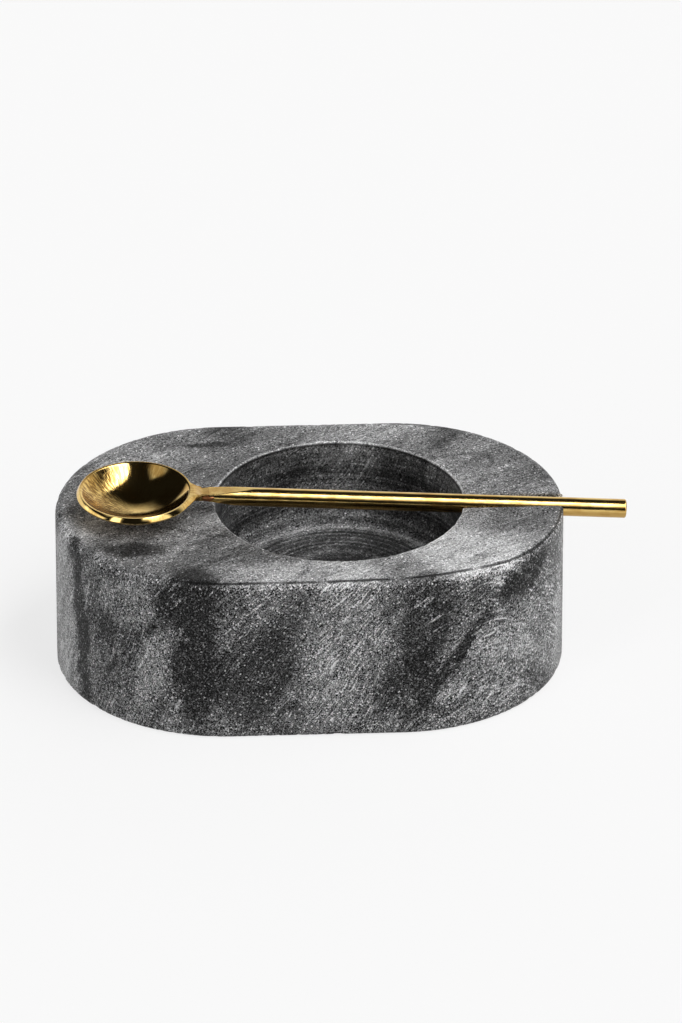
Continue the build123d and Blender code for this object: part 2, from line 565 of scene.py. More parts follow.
    def streaky(self, graph: Graph, place: Socket, gentle: Socket, calm: Socket, tone: Socket) -> Socket:
        """Add pale streaks along the layers, in patches, and soft dark veins.

        Args:
            graph: The tree that they are added to.
            place: The place on the stone.
            gentle: The same place with its wide folds.
            calm: How much of the streaks shows.
            tone: The tone so far.

        Returns:
            The new tone.
        """
        hair = graph.noise(self.layered(graph, gentle, *self.streak_size), 1.0, detail=0.5).outputs["Fac"]
        patch = graph.noise(place, self.streak_patch).outputs["Fac"]
        patched = graph.ramp_between(patch, *self.streak_patch_edge)
        streak = graph.math("MULTIPLY", graph.ramp_between(hair, *self.streak_edge), patched)
        streak = graph.math("MULTIPLY", streak, self.streak_contrast)
        tone = graph.math("MULTIPLY_ADD", streak, graph.math("POWER", calm, 2.0), tone)
        seam = graph.noise(self.layered(graph, gentle, *self.vein_size), 1.0, rough=0.45).outputs["Fac"]
        seam = graph.math("ABSOLUTE", graph.math("SUBTRACT", seam, NOISE_MEAN))
        broken = graph.ramp_between(patch, *self.vein_gap_edge)
        vein = graph.math("MULTIPLY", graph.ramp_between(seam, *self.vein_edge), broken)
        return graph.math("MULTIPLY_ADD", vein, -self.vein_depth, tone)

    def edged(self, graph: Graph, place: Socket, tone: Socket) -> Socket:
        """Add the pale edge round the top, partly rubbed wear and partly a painted highlight, and the thin
        dark line inside it.

        Args:
            graph: The tree that they are added to.
            place: The place on the stone.
            tone: The tone so far.

        Returns:
            The new tone.
        """
        right, back, height = graph.parted(place)
        past = graph.math("SUBTRACT", graph.math("ABSOLUTE", right), self.straight)
        spot = graph.joined(graph.math("MAXIMUM", past, 0.0), back)
        inset = graph.math("SUBTRACT", self.end_radius, graph.vector("LENGTH", spot))
        sag = graph.math("SUBTRACT", self.top, height)
        wave = graph.noise(place, self.wobble_size).outputs["Fac"]
        turned = graph.math("ADD", sag, graph.math("SUBTRACT", self.top_edge, inset))
        turned = graph.swung(wave, self.wobble, graph.math("SUBTRACT", turned, self.line_place))
        for stretch, shift in self.line_drift:
            turned = graph.math("MULTIPLY_ADD", graph.ramp_between(right, *stretch), shift, turned)
        # The pale band along the top edge: partly rubbed wear, partly a painted highlight on the rounded edge
        rubbed = graph.math("ABSOLUTE", graph.math("SUBTRACT", turned, self.rub_and_highlight_place))
        rubbed = graph.ramp_between(rubbed, *self.rub_and_highlight_edge)
        line = graph.ramp_between(graph.math("ABSOLUTE", turned), *self.line_edge)
        line = graph.math("MULTIPLY", line, graph.ramp_between(wave, *self.line_gap_edge))
        line = graph.math("MULTIPLY", line, graph.ramp_between(right, *self.line_start))
        outside = graph.ramp_between(inset, *self.outer_band)
        tone = graph.math("MULTIPLY_ADD", graph.math("MULTIPLY", rubbed, outside), self.rub_and_highlight_paleness, tone)
        kept = graph.math("MULTIPLY_ADD", graph.math("MULTIPLY", line, outside), -self.line_depth, 1.0)
        return graph.math("MULTIPLY", tone, kept)

    def in_well(self, graph: Graph, place: Socket) -> tuple[Socket, Socket, Socket]:
        """Tell where the well is.

        Args:
            graph: The tree that it is added to.
            place: The place on the stone.

        Returns:
            How far in the well a place is, its distance from the well's middle line, and its height.
        """
        from_middle = graph.vector("SUBTRACT", place, self.well_middle)
        out = graph.vector("LENGTH", graph.vector("MULTIPLY", from_middle, PLAN_ONLY))
        height = graph.parted(place)[2]
        start, full = self.well_edge
        inside = graph.ramp_between(out, self.well_radius + start, self.well_radius + full)
        below = self.below_top(graph, height, self.well_top_edge)
        return graph.math("MULTIPLY", inside, below), out, height

    def ground(self, graph: Graph, well: tuple[Socket, Socket, Socket], tone: Socket) -> Socket:
        """Paint shade into the well and onto its floor, and add the rings of the grinding, the pale floor
        ring and a painted highlight on the lip.

        Args:
            graph: The tree that they are added to.
            well: What in_well gives.
            tone: The tone so far.

        Returns:
            The new tone.
        """
        inside, out, height = well
        rings = graph.noise(graph.joined(out, height), self.ring_size).outputs["Fac"]
        # Painted shade: the well, and its floor more, are darkened for the shade inside the recess; the
        # grinding rings ride on it
        mark = graph.swung(rings, self.ring_contrast, -self.well_painted_shade)
        floor = self.below_top(graph, height, self.floor_depth)
        mark = graph.math("MULTIPLY_ADD", floor, -self.well_floor_painted_shade, mark)
        corner = graph.math("ABSOLUTE", graph.math("SUBTRACT", out, self.floor_ring))
        for edge, paleness in self.floor_ring_glow:
            mark = graph.math("MULTIPLY_ADD", graph.ramp_between(corner, *edge), paleness, mark)
        tone = graph.math("MULTIPLY_ADD", mark, inside, tone)
        # Painted highlight: a pale line along the well's rounded lip
        lip = graph.math("ABSOLUTE", graph.math("SUBTRACT", out, self.well_radius + self.lip_place))
        lip = graph.ramp_between(lip, *self.lip_edge)
        lip = graph.math("MULTIPLY", lip, self.below_top(graph, height, self.lip_depth))
        return graph.math("MULTIPLY_ADD", lip, self.lip_highlight, tone)

    def material(self) -> bpy.types.Material:
        """Build the marble's material.

        Returns:
            The material.
        """
        material, graph, shader = new_material("honed_grey_marble")
        place = millimetres(graph)
        gentle = self.bent(graph, place, *self.wide_fold)
        folded = place
        for size, push in self.folds:
            folded = self.bent(graph, folded, size, push)
        tone = self.cloudy(graph, folded)
        well = self.in_well(graph, place)
        calm = graph.math("MULTIPLY_ADD", well[0], -self.well_calm, 1.0)
        level = self.below_top(graph, well[2], self.top_band)
        calm = graph.math("MULTIPLY_ADD", level, -self.top_calm, calm)
        tone = graph.math("MULTIPLY_ADD", level, self.top_paleness, tone)
        tone = self.streaky(graph, place, gentle, calm, tone)
        tone = self.ground(graph, well, tone)
        tone = graph.math("SMOOTH_MAX", tone, *self.darkest)
        tone, grain = self.grainy(graph, place, gentle, calm, tone)
        tone = self.edged(graph, place, tone)
        light = graph.math("POWER", graph.math("MULTIPLY_ADD", tone, *self.tones, clamp=True), self.gamma)
        graph.feed(shader.inputs["Base Color"], graph.vector("SCALE", self.hue, light))
        graph.feed(shader.inputs["Roughness"], graph.swung(grain, self.rough_swing, self.rough))
        shader.inputs["Specular IOR Level"].default_value = self.specular
        pits = graph.node("ShaderNodeBump")
        graph.feed(pits.inputs["Strength"], self.pit_strength)
        graph.feed(pits.inputs["Distance"], self.pit_depth * MM)
        graph.feed(pits.inputs["Height"], tone)
        graph.feed(shader.inputs["Normal"], pits.outputs["Normal"])
        return material


class BrassTone(Enum):
    """The colours of the spoon's metal."""

    POLISHED = (0.80, 0.565, 0.205)
    BRAZED = (0.30, 0.13, 0.055)


class RubMarks(Enum):
    """How the marks of polishing run."""

    ALONG = "along the rod"
    FROM_MIDDLE = "out from the bowl's middle"


@dataclass(frozen=True)
class BrassFinish:
    """Polished brass with rub marks, thin uneven tarnished patches, and painted shade on the rod's underside.

    Lengths are in millimetres. An edge of two numbers is where a mark starts to show and where it shows in
    full.

    Attributes:
        name: The material's name.
        tone: The metal's colour.
        marks: How the rub marks run.
        gloss: Its mean roughness.
        scratch: How deep the rub marks are, against the metal's own waviness.
        underside_shade: How strongly painted shade darkens the rod's underside, where it faces down.
        underside_shade_edge: Heights from the rod's middle line that bound that painted shade.
        axis: A place on the rod's middle line.
        along: The direction of the rod.
        mark_size: Length and thickness of a mark along the rod.
        middle: The place that marks run out from.
        marked: How far from there the deep marks reach.
        mark_fade: How far they take to run out there.
        spokes: How finely they divide the circle.
        spoke_change: How quickly they change on their way out.
        far_side: Where marks grow deeper, counted from there towards the rod.
        least_marks: The depth of marks on the near side.
        heat: How much of the neck is discoloured by the heat of brazing.
        heat_edge: Edge of that discolouring, counted from the bowl's middle towards the rod.
        dull: What is left of each channel where the metal is dull.
        dull_edge: Edge of a dull place.
        stain_and_shade: What is left of each channel where the metal is discoloured by heat or in marks, and
            where painted shade darkens the rod's underside.
        stain_edge: Edge of a discoloured mark.
        stain_gain: How much a mark's depth stains it.
        cloud_size: Width of the uneven tarnished patches.
        cloud_rough: How much it changes the roughness.
        mark_wear: How much marks change where the metal is dull.
        mark_rough: How much marks change the roughness.
        dent_size: Width of the metal's own waves.
        dent_depth: How deep those are.
        relief: Depth of the relief of marks and waves.
    """

    name: str
    tone: BrassTone
    marks: RubMarks
    gloss: float = 0.13
    scratch: float = 0.03
    underside_shade: float = 0.0
    underside_shade_edge: Span = (0.5, -0.4)
    axis: Triple = (-23.96, -4.04, 45.38)
    along: Triple = (0.9963, 0.0335, -0.0792)
    mark_size: Span = (4.0, 0.16)
    middle: Triple = (-41.15, -4.65, 47.65)
    marked: float = 12.9
    mark_fade: float = 0.8
    spokes: float = 24.0
    spoke_change: float = 0.6
    far_side: Span = (1.0, -7.0)
    least_marks: float = 0.12
    heat: float = 0.42
    heat_edge: Span = (12.6, 15.2)
    dull: Triple = (0.74, 0.64, 0.50)
    dull_edge: Span = (0.40, 0.70)
    stain_and_shade: Triple = (0.34, 0.26, 0.16)
    stain_edge: Span = (0.36, 0.60)
    stain_gain: float = 4.2
    cloud_size: float = 5.0
    cloud_rough: float = 0.10
    mark_wear: float = 0.6
    mark_rough: float = 0.16
    dent_size: float = 3.2
    dent_depth: float = 0.12
    relief: float = 0.25

    def mark_place(self, graph: Graph, place: Socket) -> Socket:
        """Squeeze the place so that a round noise there turns into rub marks.

        Args:
            graph: The tree that it is added to.
            place: The place on the metal.

        Returns:
            The place in units of one mark's width.
        """
        if self.marks is RubMarks.FROM_MIDDLE:
            spoke = graph.vector("MULTIPLY", graph.vector("SUBTRACT", place, self.middle), PLAN_ONLY)
            right, back, _ = graph.parted(graph.vector("NORMALIZE", spoke))
            turned = [graph.math("MULTIPLY", part, self.spokes) for part in (right, back)]
            out = graph.math("MULTIPLY", graph.vector("LENGTH", spoke), self.spoke_change)
            return graph.joined(*turned, out)
        length, thick = self.mark_size
        along = Vector(self.along).normalized()
        level = along.cross(UP).normalized()
        rows = along / length, level / thick, along.cross(level) / thick
        return graph.measured(place, tuple(tuple(row) for row in rows))

    def mark_depth(self, graph: Graph, place: Socket) -> Feed:
        """Give how deep the rub marks are: in the bowl, deepest on the side away from the handle.

        Args:
            graph: The tree that it is added to.
            place: The place on the metal.

        Returns:
            The depth, as a share of the relief's own.
        """
        if self.marks is RubMarks.ALONG:
            return self.scratch
        spoke = graph.vector("SUBTRACT", place, self.middle)
        away = graph.vector("DOT_PRODUCT", spoke, self.along)
        deep = graph.math("ADD", graph.ramp_between(away, *self.far_side), self.least_marks)
        out = graph.vector("LENGTH", graph.vector("MULTIPLY", spoke, PLAN_ONLY))
        inside = graph.ramp_between(out, self.marked, self.marked - self.mark_fade)
        return graph.math("MULTIPLY", graph.math("MULTIPLY", deep, inside), self.scratch)

    def stained_and_shaded(self, graph: Graph, place: Socket, metal: Socket) -> Socket:
        """Discolour the neck where brazing heated it, and paint shade onto the rod's underside.

        Args:
            graph: The tree that they are added to.
            place: The place on the metal.
            metal: The colour so far.

        Returns:
            The new colour.
        """
        stain_and_shade = scaled(self.tone.value, self.stain_and_shade)
        if self.marks is RubMarks.FROM_MIDDLE:
            away = graph.vector("DOT_PRODUCT", graph.vector("SUBTRACT", place, self.middle), self.along)
            heated = graph.math("MULTIPLY", graph.ramp_between(away, *self.heat_edge), self.heat)
            metal = graph.mix(heated, metal, stain_and_shade)
        # Painted shade: the rod's underside is darkened where it faces down
        if self.underside_shade:
            along = Vector(self.along).normalized()
            rise = along.cross(UP).cross(along)
            high = graph.vector("DOT_PRODUCT", graph.vector("SUBTRACT", place, self.axis), tuple(rise))
            under = graph.math("MULTIPLY", graph.ramp_between(high, *self.underside_shade_edge), self.underside_shade)
            metal = graph.mix(under, metal, stain_and_shade)
        return metal

    def material(self) -> bpy.types.Material:
        """Build the brass's material.

        Returns:
            The material.
        """
        material, graph, shader = new_material(self.name)
        place = millimetres(graph)
        cloud = graph.noise(place, self.cloud_size, detail=3.0).outputs["Fac"]
        rubbed = graph.noise(self.mark_place(graph, place), 1.0, rough=0.6).outputs["Fac"]
        bright = self.tone.value
        wear = graph.swung(rubbed, self.mark_wear, cloud)
        metal = graph.mix(graph.ramp_between(wear, *self.dull_edge), bright, scaled(bright, self.dull))
        deep = self.mark_depth(graph, place)
        marred = graph.math("MULTIPLY", graph.ramp_between(rubbed, *self.stain_edge), deep)
        marred = graph.math("MULTIPLY", marred, self.stain_gain, clamp=True)
        metal = graph.mix(marred, metal, scaled(bright, self.stain_and_shade))
        graph.feed(shader.inputs["Base Color"], self.stained_and_shaded(graph, place, metal))
        shader.inputs["Metallic"].default_value = 1.0
        rough = graph.swung(rubbed, self.mark_rough, self.gloss)
        graph.feed(shader.inputs["Roughness"], graph.swung(cloud, self.cloud_rough, rough))
        shape = graph.noise(place, self.dent_size, detail=1.0).outputs["Fac"]
        dents = graph.math("MULTIPLY", shape, self.dent_depth)
        marks = graph.node("ShaderNodeBump")
        graph.feed(marks.inputs["Strength"], 1.0)
        graph.feed(marks.inputs["Distance"], self.relief * MM)
        graph.feed(marks.inputs["Height"], graph.math("MULTIPLY_ADD", rubbed, deep, dents))
        graph.feed(shader.inputs["Normal"], marks.outputs["Normal"])
        return material


def arc_between(start: np.ndarray, corner: np.ndarray, end: np.ndarray, count: int) -> list[np.ndarray]:
    """Round a corner of a path.

    Args:
        start: Point where the round begins.
        corner: The sharp corner.
        end: Point where it ends.
        count: How many points to give, the two ends included.

    Returns:
        The points, from start to end.
    """
    shares = np.linspace(0.0, 1.0, count)
    return [(1 - s) ** 2 * start + 2 * s * (1 - s) * corner + s**2 * end for s in shares]


def eased(value: np.ndarray, low: float, high: float) -> np.ndarray:
    """Ease an array from 0 at low to 1 at high."""
    share = np.clip((value - low) / (high - low), 0.0, 1.0)
    return share * share * (3 - 2 * share)


def steps(count: int) -> np.ndarray:
    """Divide the way from 0 to 1 into equal steps, without its start."""
    return np.linspace(0.0, 1.0, count + 1)[1:]


def quarter_turn(count: int) -> np.ndarray:
    """Divide a quarter turn into equal steps, without its start."""
    return np.linspace(0.0, math.pi / 2, count + 1)[1:]


def closed_loft(name: str, rings: np.ndarray, first: Triple, last: Triple,
                sharp: float = math.radians(35)) -> bpy.types.Object:
    """Skin a stack of closed rings and close both ends with a point.

    Args:
        name: The piece's name.
        rings: Points in millimetres, by ring, column and axis.
        first: The point that closes the first ring.
        last: The point that closes the last ring.
        sharp: Angle past which an edge is shaded as sharp.

    Returns:
        The object, closed, with its faces turned outwards.
    """
    count, columns, _ = rings.shape
    points = np.vstack([rings.reshape(-1, 3), [first], [last]])
    index = np.arange(count * columns).reshape(count, columns)
    following = np.roll(index, -1, axis=1)
    quads = np.stack([index[:-1], following[:-1], following[1:], index[1:]], axis=-1).reshape(-1, 4)
    fan_first = [(int(b), int(a), count * columns) for a, b in zip(index[0], following[0])]
    fan_last = [(int(a), int(b), count * columns + 1) for a, b in zip(index[-1], following[-1])]
    faces = [tuple(int(corner) for corner in quad) for quad in quads] + fan_first + fan_last
    a, b, c, d = (points[quads[:, corner]] for corner in range(4))
    volume = np.einsum("ij,ij->", a, np.cross(b, c)) + np.einsum("ij,ij->", a, np.cross(c, d))
    if volume < 0:
        faces = [face[::-1] for face in faces]
    mesh = bpy.data.meshes.new(name)
    mesh.from_pydata((points * MM).tolist(), [], faces)
    mesh.shade_smooth()
    mesh.set_sharp_from_angle(angle=sharp)
    mesh.validate()
    made = bpy.data.objects.new(name, mesh)
    bpy.context.scene.collection.objects.link(made)
    return made


def dress(piece: bpy.types.Object, material: bpy.types.Material) -> None:
    """Give a piece its material.

    Args:
        piece: The piece.
        material: Its material.
    """
    piece.data.materials.clear()
    piece.data.materials.append(material)


@dataclass
class MarbleBlock:
    """The stone block, with its well, its groove and its worn edges. Sizes are in millimetres.

    Attributes:
        length: Its length, from left to right.
        width: Its width, from front to back.
        height: Its height.
        top_edge: Radius of the edge round its top.
        base_edge: Radius of the edge round its base.
        well_offset: How far right of its middle the well is.
        well_radius: Radius of the well.
        well_depth: Depth of the well.
        well_floor_edge: Radius of the round at the well's floor.
        groove_offset: How far back of its middle the groove is.
        groove_width: Width of the groove.
        groove_depth: Depth of the groove.
        groove_draft: How far the groove's walls lean in, which keeps the columns apart.
        groove_blend: How far from the middle line columns stop to follow the groove.
        lip: Radius of the lips of the well and the groove.
        column_step: Width of a column of faces.
        plain_wall: Height up to which walls are level.
        first_ring: Size of the first ring on the well's floor, as a share of the floor's.
        last_ring: Size of the last ring on the base, as a share of the base's.
        floor_rings: Rings on the well's floor.
        corner_rings: Rings on the round at the floor.
        wall_rings: Rings on the level part of the well's wall.
        mouth_rings: Rings from there to the lip.
        lip_rings: Rings on a lip.
        top_rings: Rings on the top.
        edge_rings: Rings on the edge round the top.
        side_rings: Rings from there to the level part of the side.
        flank_rings: Rings on that level part.
        foot_rings: Rings on the edge round the base.
        base_rings: Rings on the base.
        groove_points: Points on half of the groove's bottom.
        wear: Most stone that handling took off an edge.
        worn_bend: Bend between two rings that counts as a full edge.
        chip_scale: Fineness of the broad chips.
        chip_floor: Value of their noise below which there is no chip.
        fine_scale: Fineness of the small chips.
        fine_floor: Value of their noise below which there is no chip.
        fine_share: Depth of small chips, against broad ones.
        chip_gain: How quickly a chip reaches its full depth.
    """

    length: float
    width: float
    height: float
    top_edge: float = 2.5
    base_edge: float = 1.2
    well_offset: float = 7.0
    well_radius: float = 29.3
    well_depth: float = 20.8
    well_floor_edge: float = 4.2
    groove_offset: float = -1.45
    groove_width: float = 6.4
    groove_depth: float = 4.7
    groove_draft: float = 0.004
    groove_blend: Span = (8.0, 25.0)
    lip: float = 0.5
    column_step: float = 0.5
    plain_wall: float = 34.5
    first_ring: float = 0.06
    last_ring: float = 0.1
    floor_rings: int = 16
    corner_rings: int = 8
    wall_rings: int = 10
    mouth_rings: int = 6
    lip_rings: int = 5
    top_rings: int = 18
    edge_rings: int = 9
    side_rings: int = 5
    flank_rings: int = 13
    foot_rings: int = 5
    base_rings: int = 7
    groove_points: int = 11
    wear: float = 0.16
    worn_bend: float = 0.5
    chip_scale: float = 0.55
    chip_floor: float = 0.12
    fine_scale: float = 1.7
    fine_floor: float = 0.2
    fine_share: float = 0.5
    chip_gain: float = 3.0

    def groove_profile(self) -> list[Span]:
        """Give the groove's section.

        Returns:
            Place across the block and height of each point, from one lip to the other.
        """
        half = self.groove_width / 2
        rest = self.height - self.groove_depth + half
        lip = [
            (-half - self.lip * (1 - math.sin(a)), self.height - self.lip * (1 - math.cos(a)))
            for a in np.linspace(0.0, math.pi / 2, self.lip_rings + 1)
        ]
        draft = self.groove_draft
        wall = [(-half + draft, (self.height - self.lip + rest) / 2), (-half + 2 * draft, rest)]
        floor = [
            (-half * math.cos(a) + 2 * draft * math.cos(a), rest - half * math.sin(a))
            for a in quarter_turn(self.groove_points)
        ]
        left = lip + wall + floor
        right = [(-y, z) for y, z in reversed(left[:-1])]
        return [(self.groove_offset + y, z) for y, z in left + right]

    def outline(self) -> tuple[np.ndarray, np.ndarray, np.ndarray]:
        """Walk round the block's plan, from one lip of the groove to the other and on round the block.

        Returns:
            Plan points on the outline, their outward directions, and the height of the top at each.
        """
        radius = self.width / 2
        straight = self.length / 2 - radius
        groove = self.groove_profile()
        turns = [math.asin(y / radius) for y, _ in groove]
        arc = radius * math.pi
        start = radius * turns[-1]
        end = 2 * arc + 4 * straight + radius * turns[0]
        free = np.linspace(start, end, int((end - start) / self.column_step))[1:-1]
        walk = np.concatenate([[radius * t for t in turns], free])
        heights = np.concatenate([[z for _, z in groove], np.full(len(free), self.height)])
        points, outward = [], []
        for s in walk:
            if s < arc / 2:
                direction, middle = s / radius, straight
            elif s < arc / 2 + 2 * straight:
                direction, middle = math.pi / 2, straight - (s - arc / 2)
            elif s < 1.5 * arc + 2 * straight:
                direction, middle = (s - 2 * straight) / radius, -straight
            elif s < 1.5 * arc + 4 * straight:
                direction, middle = 1.5 * math.pi, s - 1.5 * arc - 3 * straight
            else:
                direction, middle = (s - 4 * straight) / radius, straight
            normal = np.array([math.cos(direction), math.sin(direction)])
            outward.append(normal)
            points.append(np.array([middle, 0.0]) + radius * normal)
        return np.array(points), np.array(outward), heights

    def rings(self) -> np.ndarray:
        """Work out the rings of the block, from the well's floor over the top and down to the base.

        Returns:
            Points by ring, column and axis.
        """
        outer, outward, top = self.outline()
        middle = np.array([self.well_offset, 0.0])
        sight = outer - middle
        seen = np.arctan2(sight[:, 1], sight[:, 0])
        level = np.arcsin(np.clip(outer[:, 1] / self.well_radius, -1.0, 1.0))
        near_groove = (1 - eased(np.abs(outer[:, 1]), *self.groove_blend)) * (outer[:, 0] > 0)
        turn = seen + near_groove * (level - seen)
        inward = np.stack([np.cos(turn), np.sin(turn)], axis=1)
        forward = np.array([1.0, 0.0])
        lip_way = inward + near_groove[:, None] * (forward - inward)
        edge_way = outward + near_groove[:, None] * (forward - outward)
        sunk = eased(self.height - top, 0.0, self.lip)
        edge = self.top_edge + sunk * (self.lip - self.top_edge)
        floor = self.height - self.well_depth
        corner = self.well_radius - self.well_floor_edge
        mouth = middle + self.well_radius * inward
        made: list[np.ndarray] = []

        def ring(plan: np.ndarray, height: np.ndarray | float) -> None:
            """Add one ring at a height."""
            made.append(np.column_stack([plan, np.broadcast_to(height, len(plan))]))

        # The well, from its floor to its lip
        for share in np.linspace(self.first_ring, 1.0, self.floor_rings):
            ring(middle + share * corner * inward, floor)
        for a in quarter_turn(self.corner_rings):
            reach = corner + self.well_floor_edge * math.sin(a)
            ring(middle + reach * inward, floor + self.well_floor_edge * (1 - math.cos(a)))
        for height in np.linspace(floor + self.well_floor_edge, self.plain_wall, self.wall_rings + 1)[1:]:
            ring(mouth, height)
        for share in steps(self.mouth_rings):
            ring(mouth, self.plain_wall + share * (top - self.lip - self.plain_wall))
        for a in quarter_turn(self.lip_rings):
            ring(mouth + self.lip * (1 - math.cos(a)) * lip_way, top - self.lip * (1 - math.sin(a)))
        # The top and its edge
        start = mouth + self.lip * lip_way
        end = outer - edge[:, None] * edge_way
        for share in steps(self.top_rings):
            ring(start + share * (end - start), top)
        for a in quarter_turn(self.edge_rings):
            ring(outer - (edge * (1 - math.sin(a)))[:, None] * edge_way, top - edge * (1 - math.cos(a)))
        # The side, down to the base
        for share in steps(self.side_rings):
            ring(outer, top - edge + share * (self.plain_wall - top + edge))
        for height in np.linspace(self.plain_wall, self.base_edge, self.flank_rings + 1)[1:]:
            ring(outer, height)
        for a in quarter_turn(self.foot_rings):
            ring(outer - self.base_edge * (1 - math.cos(a)) * outward, self.base_edge * (1 - math.sin(a)))
        foot = outer - self.base_edge * outward
        for share in np.linspace(1.0, self.last_ring, self.base_rings + 1)[1:]:
            ring(share * foot, 0.0)
        return np.array(made)

    def wear_edges(self, rings: np.ndarray) -> np.ndarray:
        """Take a little stone off the edges, unevenly, as handling does.

        Args:
            rings: The block's clean rings.

        Returns:
            The worn rings.
        """
        along = np.roll(rings, -1, axis=1) - np.roll(rings, 1, axis=1)
        down = np.gradient(rings, axis=0)
        normal = np.cross(along, down)
        normal /= np.maximum(np.linalg.norm(normal, axis=-1, keepdims=True), 1e-9)
        bend = np.zeros(rings.shape[:2])
        bend[1:-1] = np.linalg.norm(normal[2:] - normal[:-2], axis=-1)
        bend = np.clip(bend / self.worn_bend, 0.0, 1.0)
        chips = np.array([
            max(0.0, noise.noise(Vector(p) * self.chip_scale) - self.chip_floor)
            + self.fine_share * max(0.0, noise.noise(Vector(p) * self.fine_scale) - self.fine_floor)
            for p in rings.reshape(-1, 3)
        ]).reshape(rings.shape[:2])
        outward = np.sign(np.einsum("ijk,ijk->", normal, rings - rings.mean(axis=(0, 1))))
        taken = self.wear * bend * np.minimum(chips * self.chip_gain, 1.0)
        return rings - outward * normal * taken[..., None]

    def build(self, finish: MarbleFinish) -> bpy.types.Object:
        """Make the block and dress it.

        Args:
            finish: The stone's finish.

        Returns:
            The finished piece.
        """
        floor = self.height - self.well_depth
        rings = self.wear_edges(self.rings())
        piece = closed_loft("honed_block", rings, (self.well_offset, 0.0, floor), (0.0, 0.0, 0.0))
        dress(piece, finish.material())
        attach(piece, "base")
        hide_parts("marble_block")
        return piece


